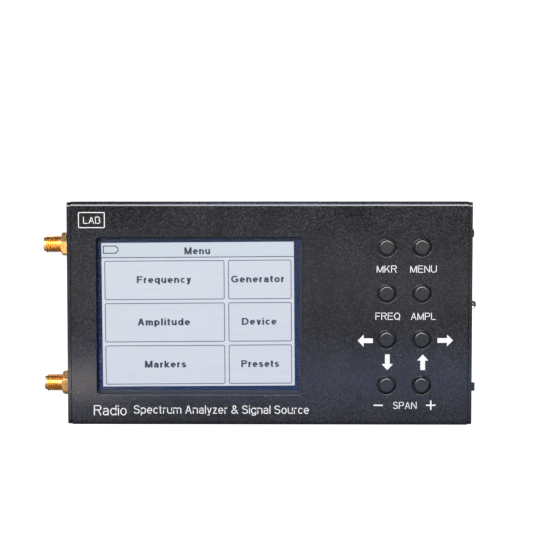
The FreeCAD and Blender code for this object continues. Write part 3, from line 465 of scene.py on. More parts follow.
# %% Table of finishes
FINISHES = {
    "case_coat": CASE_COAT,
    "gold_plate": GOLD,
    # black oxide on steel screws: an oily, deep grey-black metal with a tight grain
    "screw_steel": grained("black_oxide_steel", "#17171a", "#2b2b30", 0.38, 0.3, 0.004, Metallic=1.0),
    # turned PTFE: waxy white, with soft gloss and light that glows a little through it
    "white_insulator": grained("turned_ptfe", "#e6e5df", "#f4f3ee", 0.42, 0.4, 0.004, IOR=1.35,
                               Subsurface_Weight=0.15, Subsurface_Scale=0.0006),
    # satin moulded ABS: a spark-eroded mould leaves an even fine texture and a broad soft highlight
    "key_plastic": grained("satin_black_abs", "#08080a", "#121214", 0.2, 0.25, 0.002, IOR=1.54),
    # tinned steel sheet: bright, slightly streaked by rolling
    "bright_steel": grained("tinned_steel_sheet", "#a5a6a8", "#c4c5c7", 0.3, 0.3, 0.003, stretch=(8, 1, 1),
                            Metallic=1.0),
    # closed-cell foam tape: matt black with small pores
    "black_foam": grained("closed_cell_foam", "#101010", "#1f1f1f", 0.9, 0.4, 0.08, IOR=1.5),
    # light guide frame: milky white moulded polycarbonate
    "diffuser": grained("milky_polycarbonate", "#e2e3e4", "#f2f3f3", 0.5, 0.5, 0.004, IOR=1.58),
    # moulded epoxy of chips and switches: matt black with mineral filler specks
    "chip_black": grained("filled_moulding_epoxy", "#161617", "#29292b", 0.65, 0.2, 0.01, IOR=1.55),
    # amber polyimide film: glossy, brown-orange, with faint lines of its copper tracks
    "ribbon_film": grained("amber_polyimide_film", "#7d4a12", "#b06f21", 0.28, 0.5, 0.004, stretch=(1, 1, 20),
                           IOR=1.7),
    # laminated foil pouch: silver-grey, gently wrinkled
    "cell_pouch": grained("laminated_foil_pouch", "#b6b7ba", "#cfd0d3", 0.34, 3.0, 0.12, Metallic=1.0),
    # silicone lead insulation: soft, dull red
    "lead_red": grained("red_silicone_insulation", "#8e1512", "#a92019", 0.55, 0.6, 0.004, IOR=1.41),
    # moulded nylon connectors: warm white, slightly waxy
    "white_nylon": grained("moulded_nylon", "#d9d4c3", "#e8e4d6", 0.45, 0.4, 0.004, IOR=1.53,
                           Subsurface_Weight=0.1, Subsurface_Scale=0.0005),
    # tinned copper wire: pale grey metal, drawn lengthwise
    "tinned_lead": grained("tinned_copper_wire", "#a9a9a9", "#c9c9c8", 0.25, 0.15, 0.002,
                           stretch=(8, 1, 1), Metallic=1.0),
}
print("finishes so far:", len(FINISHES))

# %% [markdown]
# Three finishes need more than a grain. A circuit board shows copper tracks as lighter lines through its
# green solder resist: a brick pattern with thin joints stands for them. The touch panel is a clear sheet
# with an anti-glare front, so it is almost all see-through and keeps a soft sheen. The lamp is cast clear
# epoxy, a solid lens that bends what lies inside it.

# %% Circuit board, touch panel and lamp
def solder_resist():
    """Green solder resist on glass-epoxy board, with tracks 0.25 mm wide drawn every 1.27 mm."""
    material, tree, shader = new_material("green_solder_resist", IOR=1.5)
    place = add(tree, "ShaderNodeTexCoord", {})
    swap = add(tree, "ShaderNodeMapping", {"Vector": place.outputs["Object"], "Scale": (1 / MM,) * 3,
                                           "Rotation": (math.pi / 2, 0, 0)})
    tracks = add(tree, "ShaderNodeTexBrick", {"Vector": swap.outputs[0], "Scale": 1.0, "Mortar Size": 0.12,
                                              "Brick Width": 6.35, "Row Height": 1.27}).outputs["Fac"]
    dress(tree, shader, Base_Color=two_tones(tree, tracks, "#0f4a2c", "#2c7a4c"),
          Roughness=ranged(tree, noise(tree, 1.2), 0.24, 0.34))
    bump(tree, shader, tracks, 0.02)
    return material


def touch_film():
    """Clear touch panel with an etched anti-glare front: nearly invisible, with a soft sheen."""
    material, tree, shader = new_material("anti_glare_touch_panel", IOR=1.5, Alpha=0.08)
    etch = noise(tree, 0.3, detail=1.0)
    dress(tree, shader, Base_Color=two_tones(tree, etch, "#0d2347", "#14305c"),
          Roughness=ranged(tree, etch, 0.12, 0.16))
    bump(tree, shader, etch, 0.0005)
    return material


def clear_epoxy():
    """Cast clear epoxy: water-clear, with a slight unevenness where the mould was polished."""
    material, tree, shader = new_material("cast_clear_epoxy", IOR=1.52, Transmission_Weight=1.0)
    swirl = noise(tree, 0.8)
    dress(tree, shader, Base_Color=two_tones(tree, swirl, "#f4f7f8", "#ffffff"),
          Roughness=ranged(tree, swirl, 0.01, 0.05))
    return material


FINISHES.update(circuit_board=solder_resist(), touch_glass=touch_film(), clear_epoxy=clear_epoxy())
print("finishes now:", len(FINISHES))

# %% [markdown]
# Round its lit area a display cell has a dark border: black mask printed behind a polariser film. The
# polariser gives it a satin, navy tint, with the faint parallel lines of the stretched film. The tray that
# holds the cell is steel too, but painted matt black, so that its rim doesn't shine into the picture.

# %% Display border and its tray
def polariser():
    """Stretched polariser film over a black mask: deep navy, satin, finely lined."""
    material, tree, shader = new_material("polariser_over_black_mask", IOR=1.5)
    lines = noise(tree, 0.4, detail=2.0, stretch=(30, 1, 1))
    dress(tree, shader, Base_Color=two_tones(tree, lines, "#040f26", "#0a1b3c"),
          Roughness=ranged(tree, lines, 0.16, 0.22))
    bump(tree, shader, lines, 0.0005)
    return material


FINISHES["display_cell"] = polariser()
BLACK_TRAY = grained("matt_black_paint_on_steel", "#0b0b0d", "#161618", 0.6, 0.3, 0.006, IOR=1.5)
SPECIAL = {"display_tray": BLACK_TRAY}

# %% Give every engineering piece its finish
used = set()
for name, node in NODES.items():
    slot = node.material_slots[0].material.name
    node.material_slots[0].material = SPECIAL.get(name) or FINISHES[slot]
    used.add(node.material_slots[0].material.name)
print("dressed", len(NODES), "pieces in", len(used), "finishes")

# %% [markdown]
# ## Turned jacks with real threads
#
# Each jack is one turned part: a flange inside the plate, a barrel with a 1/4-36 thread, and a short smooth
# nose with a mouth. The surface has two parameters. One runs along the closed profile, from the flange over
# the barrel, round the nose and back down the bore, and the other is the angle. The thread is a helix: at
# each point the radius drops by a rounded V whose phase is the distance along the axis over the pitch plus
# the angle over a full turn, and it fades in and out over half a pitch at both ends.

# %% Lathe and thread
THREAD_PITCH = 25.4 / 36
THREAD_DEPTH = 0.42
CREST = 3.175
VALLEY_FLOOR, VALLEY_SLOPE = 1.15, 2.3


def spun(x, radius, angle, axis_y, axis_z):
    """Points round an axis along X: y is the radius times the angle's cosine, z the radius times its sine."""
    return np.stack([x, axis_y + radius * np.cos(angle), axis_z + radius * np.sin(angle)], axis=-1)


def lathe(profile, axis_y, axis_z, around=96, groove=None):
    """Spin a profile of (x, radius) about an axis along X. groove(x, radius, angle) is taken from the radius,
    which is how a thread is cut."""
    angle = np.linspace(0, 2 * np.pi, around, endpoint=False)[None, :]
    x, radius = profile[:, :1] + 0 * angle, profile[:, 1:] + 0 * angle
    if groove:
        radius = radius - groove(x, radius, angle)
    return spun(x, radius, angle, axis_y, axis_z)


def helical_groove(start, end):
    """The thread's groove between two places on the axis: its depth times a rounded V of the helix's phase,
    on the barrel only, faded within half a pitch of both ends."""
    def groove(x, radius, angle):
        phase = (x / THREAD_PITCH + angle / (2 * np.pi)) % 1.0
        valley = np.clip(VALLEY_FLOOR - VALLEY_SLOPE * np.abs(phase - 0.5), 0, 1)
        fade_in, fade_out = (np.clip(2 * d / THREAD_PITCH, 0, 1) for d in (x - start, end - x))
        return THREAD_DEPTH * valley * fade_in * fade_out * (np.abs(radius - CREST) < 0.001)
    return groove


print("thread pitch", round(THREAD_PITCH, 4), "mm")

# %% [markdown]
# Small posts, pads and printed marks all have the same make: a rounded rectangle carried a short way along
# one axis. The outline's corners are quarter circles, and a stack of copies makes the sides, which two caps
# close.

# %% Rounded outlines and what is carried along them
def rounded(width, height, radius, per_corner=6):
    """A rectangle with quarter-circle corners as (columns, 2) points, centred on zero."""
    quarter = np.repeat(np.arange(4), per_corner)
    turn = quarter * np.pi / 2 + np.tile(np.linspace(0, np.pi / 2, per_corner), 4)
    side = quarter * np.pi / 2 + np.pi / 4
    centres = np.stack([np.sign(np.cos(side)) * (width / 2 - radius),
                        np.sign(np.sin(side)) * (height / 2 - radius)], axis=-1)
    return centres + radius * np.stack([np.cos(turn), np.sin(turn)], axis=-1)


def carried(outline, stops, axis="y"):
    """Carry an outline along an axis: one copy at each stop, which is its place and its growth outwards."""
    rows = []
    for at, grow in stops:
        away = outline - outline.mean(axis=0)
        moved = outline + grow * away / np.linalg.norm(away, axis=1, keepdims=True)
        level = np.full(len(outline), float(at))
        order = (level, moved[:, 0], moved[:, 1]) if axis == "x" else (moved[:, 0], level, moved[:, 1])
        rows.append(np.stack(order, axis=-1))
    return np.stack(rows)


# %% Jack bodies
TIP = low("high_jack_body", "x")
NUT_FACE = low("jack_nuts", "x")
FLANGE_OUT = high("left_end_plate", "x")
FLANGE_THICK = 1.6
NOSE_LENGTH, NOSE_RADIUS = 1.0, 2.65
MOUTH_RADIUS, MOUTH_DEPTH = 2.3, 1.9
NECK_RADIUS = 2.945
EASE = 0.12
LEG_SIDE, LEG_SPREAD, LEG_EASE = 0.9, 2.5, 0.08


def jack_axis(name):
    """The Y and Z of a jack's axis, read from its round insulator."""
    return middle(name + "_jack_insulator", "y"), middle(name + "_jack_insulator", "z")


def jack_profile(bore, flange):
    """The closed profile of (x, radius): flange, neck inside the nut, thread, nose, mouth and bore."""
    inner, end = FLANGE_OUT + FLANGE_THICK, TIP + NOSE_LENGTH
    barrel = np.linspace(NUT_FACE, end, int((NUT_FACE - end) / THREAD_PITCH * 16))
    corners = [(inner, bore), (inner, flange - EASE), (inner - EASE, flange), (FLANGE_OUT + EASE, flange),
               (FLANGE_OUT, flange - EASE), (FLANGE_OUT, NECK_RADIUS), (NUT_FACE, NECK_RADIUS)]
    nose = [(end, NOSE_RADIUS), (TIP + EASE, NOSE_RADIUS), (TIP, NOSE_RADIUS - EASE),
            (TIP, MOUTH_RADIUS + EASE), (TIP + EASE, MOUTH_RADIUS), (TIP + MOUTH_DEPTH, MOUTH_RADIUS),
            (TIP + MOUTH_DEPTH, bore)]
    return np.concatenate([corners, np.stack([barrel, np.full(len(barrel), CREST)], axis=-1), nose])


def jack_legs(axis_z):
    """Four square legs that hold the board between them, carried along X from inside the flange."""
    legs = []
    start, end = FLANGE_OUT + FLANGE_THICK / 2, high("high_jack_body", "x")
    for y in (low("main_board", "y") - LEG_SIDE / 2, high("main_board", "y") + LEG_SIDE / 2):
        for z in (axis_z - LEG_SPREAD, axis_z + LEG_SPREAD):
            square = rounded(LEG_SIDE, LEG_SIDE, LEG_EASE, 3) + (y, z)
            legs.append(carried(square, [(start, 0), (end - LEG_EASE, 0), (end, -LEG_EASE)], axis="x"))
    return legs


def join_meshes(name, meshes):
    """One mesh from several, by adding each to an empty bmesh."""
    whole = bmesh.new()
    for mesh in meshes:
        whole.from_mesh(mesh)
        bpy.data.meshes.remove(mesh)
    joined = bpy.data.meshes.new(name)
    whole.to_mesh(joined)
    whole.free()
    return joined


for name in ("high", "low"):
    node = name + "_jack_body"
    axis_y, axis_z = jack_axis(name)
    bore = (high(name + "_jack_insulator", "z") - low(name + "_jack_insulator", "z")) / 2
    flange = (high(node, "z") - low(node, "z")) / 2
    turned = lathe(jack_profile(bore, flange), axis_y, axis_z,
                   groove=helical_groove(TIP + NOSE_LENGTH, NUT_FACE))
    body_mesh = grids_to_mesh(node, [turned], wrap_rows=True)
    legs_mesh = grids_to_mesh(node, jack_legs(axis_z), caps=True)
    piece = add_piece(name + "_threaded_jack", join_meshes(node, [body_mesh, legs_mesh]), GOLD,
                      smooth=35)
    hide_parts(node)

# %% [markdown]
# The nuts are hexagons with their corners turned off. Round the axis the radius of a hexagon is its half
# width over the cosine of the angle to the nearest flat. A power mean of those six cosines does the same
# and rounds the corners a little, as tumbling does. Near the outer face a cone cuts the corners, which
# leaves the curved bright line that every machined nut has. Each nut stands as it was tightened, so the two
# are turned differently.

# %% Hex nuts
NUT_HALF_WIDTH = 4.0
NUT_SINK = 0.3
CHAMFER_START, CHAMFER_DEPTH, CHAMFER_SLOPE = 0.05, 0.55, 4.0 / 2.6
BACK_EDGE, BACK_CORNER = 0.1, 0.25
CORNER_POWER = 60
NUT_TURNS = {"high": 11.0, "low": 21.0}


def hexagon_radius(angle, corner_angle):
    """Half width over a power mean of the cosines to the six flats: a hexagon with rounded corners."""
    flats = corner_angle + np.pi / 6 + np.arange(6)[:, None, None] * np.pi / 3
    cosines = np.clip(np.cos(angle[None] - flats), 0, None)
    return NUT_HALF_WIDTH * np.sum(cosines ** CORNER_POWER, axis=0) ** (-1 / CORNER_POWER)


def nut(name):
    """Rings of the nut from its bore over both faces, each as wide as the lesser of hexagon and cone."""
    outer, inner = low("jack_nuts", "x"), high("jack_nuts", "x")
    depth = np.append(np.linspace(0, CHAMFER_DEPTH, 14), [inner - outer - BACK_EDGE, inner - outer])
    cone = NUT_HALF_WIDTH - CHAMFER_START + CHAMFER_SLOPE * depth
    cone[-1] = NUT_HALF_WIDTH + BACK_CORNER
    angle = np.linspace(0, 2 * np.pi, 192, endpoint=False)[None, :]
    corner = np.pi - math.radians(NUT_TURNS[name])
    sides = np.minimum(hexagon_radius(angle, corner), cone[:, None])
    bore = np.array([NECK_RADIUS, NECK_RADIUS, NECK_RADIUS + NUT_SINK])[:, None] + 0 * angle
    radius = np.concatenate([bore, sides])
    x = np.concatenate([[inner, outer + NUT_SINK, outer], outer + depth])[:, None] + 0 * angle
    return spun(x, radius, angle, *jack_axis(name))


nuts_mesh = grids_to_mesh("jack_hex_nuts", [nut("high"), nut("low")], wrap_rows=True)
nuts = add_piece("jack_hex_nuts", nuts_mesh, GOLD, smooth=25)
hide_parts("jack_nuts")

# %% [markdown]
# ## The lit picture
#
# A display glows by itself, so its picture is made of thin shapes that give off light: the field, a title
# bar with a battery sign, and six cells with a word in each. The lit area of a 3.5 inch panel is 70.08 by
# 52.56 mm. Panels are glued in by hand, and this one sits a little low and 0.4 degrees askew, so each shape
# is laid out square and then turned about the middle of the lit area. Every layer lies 0.01 mm in front of
# the one under it.

# %% Picture layout
LIT_WIDTH, LIT_HEIGHT = 70.08, 52.56
LIT_LEFT, LIT_DOWN, ASKEW = 0.06, 0.16, math.radians(0.42)
LIT_MIDDLE = (middle("display_tray", "x") - LIT_LEFT, middle("display_tray", "z") - LIT_DOWN)
LAYER = 0.01
print("middle of the lit area, mm:", [round(c, 2) for c in LIT_MIDDLE])


def screen_place(grid, left, down):
    """Move a grid drawn about zero to a place measured from the lit area's top left corner, then turn it."""
    x = grid[..., 0] + left - LIT_WIDTH / 2
    z = grid[..., 2] + LIT_HEIGHT / 2 - down
    placed = grid.copy()
    placed[..., 0] = LIT_MIDDLE[0] + x * math.cos(ASKEW) - z * math.sin(ASKEW)
    placed[..., 2] = LIT_MIDDLE[1] + x * math.sin(ASKEW) + z * math.cos(ASKEW)
    return placed


def sheet(width, height, radius, layer):
    """A thin rounded plate in front of the display glass, carried from its back to its front."""
    front = GLASS_Y - (layer + 1) * LAYER
    return carried(rounded(width, height, radius, 5), [(front + LAYER, 0), (front, 0)])


def band(outer, inner, back, front):
    """A flat closed line between two outlines: two rings of the outer edge, then two of the inner edge."""
    return np.concatenate([carried(outer, [(back, 0), (front, 0)]), carried(inner, [(front, 0), (back, 0)])])


def frame_line(width, height, radius, line, layer):
    """A rounded outline of a given line width in front of the display glass."""
    inner = rounded(width - 2 * line, height - 2 * line, radius - line)
    back = GLASS_Y - layer * LAYER
    return band(rounded(width, height, radius), inner, back, back - LAYER)


def picture(name, grids, finish, **ends):
    """One layer of the picture, made of its grids."""
    return add_piece(name, grids_to_mesh(name, grids, **ends), finish)


# %% [markdown]
# What makes a display look lit is colour that doesn't depend on the lamps of the studio. So its finish is a
# black film whose emission carries the picture's colour. Real rows of dots are 0.22 mm apart and too fine
# to show; they are drawn as faint streaks 0.7 mm apart along the rows.

# %% Glowing finishes
def glowing(name, dim, bright, streak_mm=0.7):
    """A lit display layer: black film whose emission wavers between two close tones along its rows."""
    material, tree, shader = new_material(name, IOR=1.5, Roughness=0.4, Emission_Strength=1.0)
    shader.inputs["Base Color"].default_value = linear("#050505")
    streaks = noise(tree, streak_mm, detail=2.0, stretch=(40, 1, 1))
    dress(tree, shader, Emission_Color=two_tones(tree, ranged(tree, streaks, 0, 1), dim, bright))
    return material


LIT_FIELD = glowing("lit_field", "#d9e0ea", "#dfe5ee")
LIT_TITLE = glowing("lit_title_bar", "#cfd9e3", "#d4dee7")
LIT_CELL = glowing("lit_cell", "#d6dbe6", "#dce1eb")
LIT_LINE = glowing("lit_outline", "#646478", "#6e6e82")
LIT_WORDS = glowing("lit_words", "#1c2033", "#262a3c")
TITLE_HEIGHT, TITLE_RULE = 5.2, 0.4
CELL_TOP, CELL_STEP, CELL_HEIGHT, CELL_ROUND, CELL_LINE = 6.5, 15.5, 14.4, 0.7, 0.34
SHARP, BAR_INSET = 0.02, 0.05
COLUMNS = {"left": (0.95, 44.8), "right": (46.05, 69.2)}

bar_width, half_way = LIT_WIDTH - 2 * BAR_INSET, LIT_WIDTH / 2
field = screen_place(sheet(LIT_WIDTH, LIT_HEIGHT, SHARP, 0), half_way, LIT_HEIGHT / 2)
title = screen_place(sheet(bar_width, TITLE_HEIGHT, SHARP, 1), half_way, TITLE_HEIGHT / 2 + BAR_INSET)
rule = screen_place(sheet(bar_width, TITLE_RULE, SHARP, 1), half_way, TITLE_HEIGHT + TITLE_RULE / 2)
cells, outlines = [], []
for start, end in COLUMNS.values():
    for row in range(3):
        spot = ((start + end) / 2, CELL_TOP + row * CELL_STEP + CELL_HEIGHT / 2)
        size = (end - start, CELL_HEIGHT, CELL_ROUND)
        cells.append(screen_place(sheet(*size, 1), *spot))
        outlines.append(screen_place(frame_line(*size, CELL_LINE, 2), *spot))
picture("picture_field", [field], LIT_FIELD, caps=True)
picture("picture_title_bar", [title], LIT_TITLE, caps=True)
picture("picture_cells", cells, LIT_CELL, caps=True)
picture("picture_rule", [rule], LIT_LINE, caps=True)
picture("picture_outlines", outlines, LIT_LINE, wrap_rows=True)

# %% [markdown]
# The battery sign is an outline too, but its right end comes to a blunt point. Its corners are given one by
# one, and the inner edge is the same outline drawn smaller about its middle.

# %% Battery sign
BATTERY_WIDTH, BATTERY_HEIGHT, BATTERY_POINT, BATTERY_LINE = 5.66, 2.98, 0.9, 0.36
BATTERY_LEFT, BATTERY_DOWN = 0.55, 0.95
half_w, half_h = BATTERY_WIDTH / 2, BATTERY_HEIGHT / 2
battery = np.array([(-half_w, -half_h), (half_w - BATTERY_POINT, -half_h), (half_w, -half_h / 3),
                    (half_w, half_h / 3), (half_w - BATTERY_POINT, half_h), (-half_w, half_h)])
shrink = 1 - 2 * BATTERY_LINE / np.array([BATTERY_WIDTH, BATTERY_HEIGHT])
battery_band = band(battery, battery * shrink, GLASS_Y - 2 * LAYER, GLASS_Y - 3 * LAYER)
battery_grid = screen_place(battery_band, BATTERY_LEFT + half_w, BATTERY_DOWN + half_h)
picture("picture_battery", [battery_grid], LIT_WORDS, wrap_rows=True)

# %% [markdown]
# Instrument lettering is plain: strokes of one width, like those of a drafting pen. So each letter is one
# or more pen strokes on a grid where capitals are 1 high. Curves are parts of ellipses with the pen held
# across the stroke, and slanted strokes are cut level with the line they stand on. A wider pen gives bold
# letters, and as every curve is drawn half a pen width inside the cap line and the base line, the height
# stays the same.

# %% Pen strokes
SMALL, TAIL = 0.735, -0.21


def arc(x, z, wide, tall, start, end):
    """Points on part of an ellipse: the middle plus cosine and sine of an angle from start to end."""
    turn = np.radians(np.linspace(start, end, 3 + int(abs(end - start) / 12)))
    return np.stack([x + wide * np.cos(turn), z + tall * np.sin(turn)], axis=-1)


def drawn(h, *parts):
    """The two sides of a pen stroke through points and arcs: each point moves by h along the bisector of its
    two segments, and further where they meet at an angle, which mitres the corner."""
    points = np.concatenate([np.atleast_2d(np.array(part, float)) for part in parts])
    moved = np.linalg.norm(np.diff(points, axis=0), axis=1) > 1e-4
    points = points[np.concatenate([[True], moved])]
    along = np.diff(points, axis=0)
    along /= np.linalg.norm(along, axis=1, keepdims=True)
    across = np.stack([-along[:, 1], along[:, 0]], axis=-1)
    bisector = (np.concatenate([across[:1], across]) + np.concatenate([across, across[-1:]])) / 2
    reach = h * bisector / np.clip(np.sum(bisector ** 2, axis=1, keepdims=True), 0.3, 1)
    return points + reach, points - reach


def slanted(h, start, end):
    """The two sides of a straight stroke whose ends are cut level: both ends move sideways by h over the sine
    of the stroke's slope."""
    points = np.array([start, end], float)
    run, rise = points[1] - points[0]
    reach = np.array([h * math.hypot(run, rise) / abs(rise), 0])
    return points - reach, points + reach


# %% Capitals
def capitals(h):
    """Strokes and width of each capital, for a pen of half width h; top and foot are the pen's own limits."""
    pen, cut = partial(drawn, h), partial(slanted, h)
    top, foot, waist = 1 - h, h, 0.53
    bowl, under = (top - waist) / 2, (waist - foot) / 2
    stem = pen((h, 0), (h, 1))

    def belly(x, z, wide, tall):
        """A stroke from the stem round half an ellipse about (x, z) and back to the stem."""
        return pen((h, z + tall), (x, z + tall), arc(x, z, wide, tall, 90, -90), (h, z - tall))

    return {
        "A": ([cut((1.1 * h, 0), (0.35, 1)), cut((0.7 - 1.1 * h, 0), (0.35, 1)),
               pen((0.13, 0.33), (0.57, 0.33))], 0.7),
        "B": ([stem, belly(0.36, top - bowl, 0.26 - h, bowl),
               belly(0.38, foot + under, 0.28 - h, under)], 0.66),
        "D": ([stem, belly(0.3, 0.5, 0.42 - h, 0.5 - h)], 0.72),
        "E": ([stem, pen((h, top), (0.64, top)), pen((h, waist), (0.6, waist)),
               pen((h, foot), (0.66, foot))], 0.66),
        "F": ([stem, pen((h, top), (0.6, top)), pen((h, 0.5), (0.54, 0.5))], 0.6),
        "G": ([pen(arc(0.38, 0.5, 0.38 - h, 0.5 - h, 40, 315), (0.74 - h, 0.17), (0.74 - h, 0.47)),
               pen((0.43, 0.47), (0.74, 0.47))], 0.74),
        "K": ([stem, cut((0.12, 0.32), (0.57, 1)), cut((0.27, 0.6), (0.6, 0))], 0.67),
        "L": ([stem, pen((h, foot), (0.56, foot))], 0.56),
        "M": ([stem, cut((h, 1), (0.4, 0)), cut((0.8 - h, 1), (0.4, 0)),
               pen((0.8 - h, 0), (0.8 - h, 1))], 0.8),
        "N": ([stem, cut((h, 1), (0.7 - h, 0)), pen((0.7 - h, 0), (0.7 - h, 1))], 0.7),
        "P": ([stem, belly(0.38, 0.71, 0.27 - h, top - 0.71)], 0.65),
        "Q": ([pen(arc(0.38, 0.5, 0.38 - h, 0.5 - h, 0, 360)), cut((0.47, 0.25), (0.7, -0.04))], 0.76),
        "R": ([stem, belly(0.4, top - bowl, 0.27 - h, bowl), cut((0.38, waist), (0.63, 0))], 0.68),
        "S": ([pen(arc(0.32, top - bowl, 0.3 - h, bowl, 12, 270),
                   arc(0.32, foot + under, 0.32 - h, under, 90, -165))], 0.64),
        "U": ([pen((h, 1), (h, 0.35), arc(0.35, 0.35, 0.35 - h, 0.35 - h, 180, 360), (0.7 - h, 1))], 0.7),
        "&": ([pen((0.7, 0.02), (0.2, 0.66), arc(0.32, 0.78, 0.15, 0.22 - h, 200, -20), (0.4, 0.62),
                   (0.16, 0.42), arc(0.26, 0.25, 0.26 - h, 0.25 - h, 140, 300), (0.48, 0.2), (0.6, 0.46))],
              0.72),
    }


# %% Small letters
def small_letters(h):
    """Strokes and width of each small letter, for a pen of half width h."""
    pen, cut = partial(drawn, h), partial(slanted, h)
    top, foot, half = SMALL - h, h, SMALL / 2
    upper, lower = (top - half) / 2, (half - foot) / 2
    ring = pen(arc(0.28, half, 0.28 - h, half - h, 0, 360))
    short, tall = pen((h, 0), (h, SMALL)), pen((h, 0), (h, 1))
    narrow, reach = 0.24 - h, 0.24
    return {
        "a": ([pen(arc(0.26, top - 0.16, 0.25 - h, 0.16, 165, 0), (0.51 - h, 0)),
               pen((0.51 - h, 0.42), (0.24, 0.4), arc(0.2, 0.2 + h / 2, 0.2 - h, 0.2 - h / 2, 90, 270),
                   (0.3, foot), (0.51 - h, 0.18))], 0.53),
        "c": ([pen(arc(0.27, half, 0.27 - h, half - h, 40, 320))], 0.5),
        "d": ([ring, pen((0.56 - h, 0), (0.56 - h, 1))], 0.56),
        "e": ([pen((h, half), (0.55 - h, half), arc(0.275, half, 0.275 - h, half - h, 0, 315))], 0.55),
        "g": ([ring, pen((0.56 - h, SMALL), (0.56 - h, -0.02),
                         arc(0.28, -0.02, 0.28 - h, -TAIL - 0.02 - h, 0, -155))], 0.56),
        "i": ([short, pen((h, 0.86), (h, 1))], 2 * h),
        "k": ([tall, cut((0.1, 0.2), (0.43, SMALL)), cut((0.22, 0.42), (0.45, 0))], 0.52),
        "l": ([tall], 2 * h),
        "m": ([short, pen((h, 0.4), arc(reach, top - 0.2, narrow, 0.2, 175, 0), (reach + narrow, 0)),
               pen((reach + narrow, 0.4), arc(2 * reach - h + narrow, top - 0.2, narrow, 0.2, 175, 0),
                   (3 * reach - 2 * h + narrow, 0))], 3 * reach - h + narrow),
        "n": ([short, pen((h, 0.4), arc(0.27, top - 0.22, 0.27 - h, 0.22, 175, 0), (0.54 - h, 0))], 0.54),
        "o": ([ring], 0.56),
        "p": ([ring, pen((h, TAIL), (h, SMALL))], 0.56),
        "q": ([ring, pen((0.56 - h, TAIL), (0.56 - h, SMALL))], 0.56),
        "r": ([short, pen((h, 0.4), arc(0.27, top - 0.22, 0.27 - h, 0.22, 175, 80))], 0.33),
        "s": ([pen(arc(0.25, top - upper, 0.23 - h, upper, 18, 270),
                   arc(0.25, foot + lower, 0.25 - h, lower, 90, -162))], 0.5),
        "t": ([pen((0.13, 0.93), (0.13, 0.16), arc(0.25, 0.16, 0.12, 0.16 - h, 180, 280)),
               pen((0, top), (0.29, top))], 0.3),
        "u": ([pen((0.54 - h, 0.335), arc(0.27, 0.22 + h, 0.27 - h, 0.22, -5, -180), (h, SMALL)),
               pen((0.54 - h, 0), (0.54 - h, SMALL))], 0.54),
        "v": ([cut((1.1 * h, SMALL), (0.25, 0)), cut((0.5 - 1.1 * h, SMALL), (0.25, 0))], 0.5),
        "y": ([cut((1.1 * h, SMALL), (0.26, 0)), cut((0.5 - 1.1 * h, SMALL), (0.19, TAIL)),
               pen((0.19, TAIL + h), (0.04, TAIL + h))], 0.5),
        "z": ([pen((0.02, top), (0.46, top)), cut((1.2 * h, h), (0.47 - 1.2 * h, top)),
               pen((0, foot), (0.47, foot))], 0.47),
    }


# %% Words from strokes
LETTER_GAP, SPACE = 0.12, 0.3


def lettering(words, left, right, base, top, front, back, pen):
    """Grids of a word: each stroke's two sides at the front and at the back, scaled so that the ink runs from
    left to right and the capitals from base to top. pen is a stroke's width as a share of the cap height."""
    letters = {**capitals(pen / 2), **small_letters(pen / 2)}
    sides, at = [], 0.0
    for letter in words:
        strokes, width = letters.get(letter, ([], SPACE - LETTER_GAP))
        sides += [np.stack(pair) + (at, 0) for pair in strokes]
        at += width + LETTER_GAP
    ink = np.concatenate([pair.reshape(-1, 2) for pair in sides])
    low_x, high_x = ink[:, 0].min(), ink[:, 0].max()
    grids = []
    for one, other in sides:
        ring = []
        for side, y in ((one, front), (other, front), (other, back), (one, back)):
            x = left + (side[:, 0] - low_x) / (high_x - low_x) * (right - left)
            ring.append(np.stack([x, np.full(len(side), y), base + side[:, 1] * (top - base)], axis=-1))
        grids.append(np.stack(ring, axis=1))
    return grids


print("letters drawn:", len(capitals(0.06) | small_letters(0.06)))

# %% Words on the display
MENU_PEN, CAPITAL = 0.2, 2.55
MENU_WORDS = {"Frequency": (12.75, 32.6, 0), "Generator": (47.14, 66.48, 0), "Amplitude": (12.9, 32.07, 1),
              "Device": (50.94, 63.66, 1), "Markers": (15.33, 30.49, 2), "Presets": (50.6, 64.47, 2)}
LINE_DOWN, TITLE_DOWN = 14.75, 4.35


def display_word(words, left, right, down):
    """A bold word whose base line lies down millimetres from the top of the lit area."""
    front = GLASS_Y - 4 * LAYER
    grids = lettering(words, left, right, 0.0, CAPITAL, front, front + LAYER, MENU_PEN)
    return [screen_place(grid, 0, down) for grid in grids]


menu = display_word("Menu", 30.22, 39.64, TITLE_DOWN)
for words, (left, right, row) in MENU_WORDS.items():
    menu += display_word(words, left, right, LINE_DOWN + row * CELL_STEP)
picture("picture_words", menu, LIT_WORDS, caps=True)

# %% [markdown]
# ## Printing on the case
#
# The legends are silk-screened: thick white ink is pushed through a mesh onto the finished coat, where it
# stands up by some hundredths of a millimetre and dries to a satin white with slightly ragged edges. So the
# marks are thin solid shapes on the face, and their ink shows a faint unevenness.

# %% Printed ink
INK = 0.02
WHITE_INK = grained("white_screen_ink", "#aeadaa", "#bcbbb8", 0.5, 0.35, 0.004, IOR=1.5)


def printed_mark(name, grids, **ends):
    """Printed shapes on the front face, drawn as closed grids."""
    return add_piece(name, grids_to_mesh(name, grids, **ends), WHITE_INK)


def printed_words(name, words, left, right, base, top, pen=0.095):
    """A legend on the front face, its ink proud of the coat."""
    grids = lettering(words, left, right, base, top, FACE_Y - INK, FACE_Y, pen)
    return printed_mark(name, grids, caps=True)


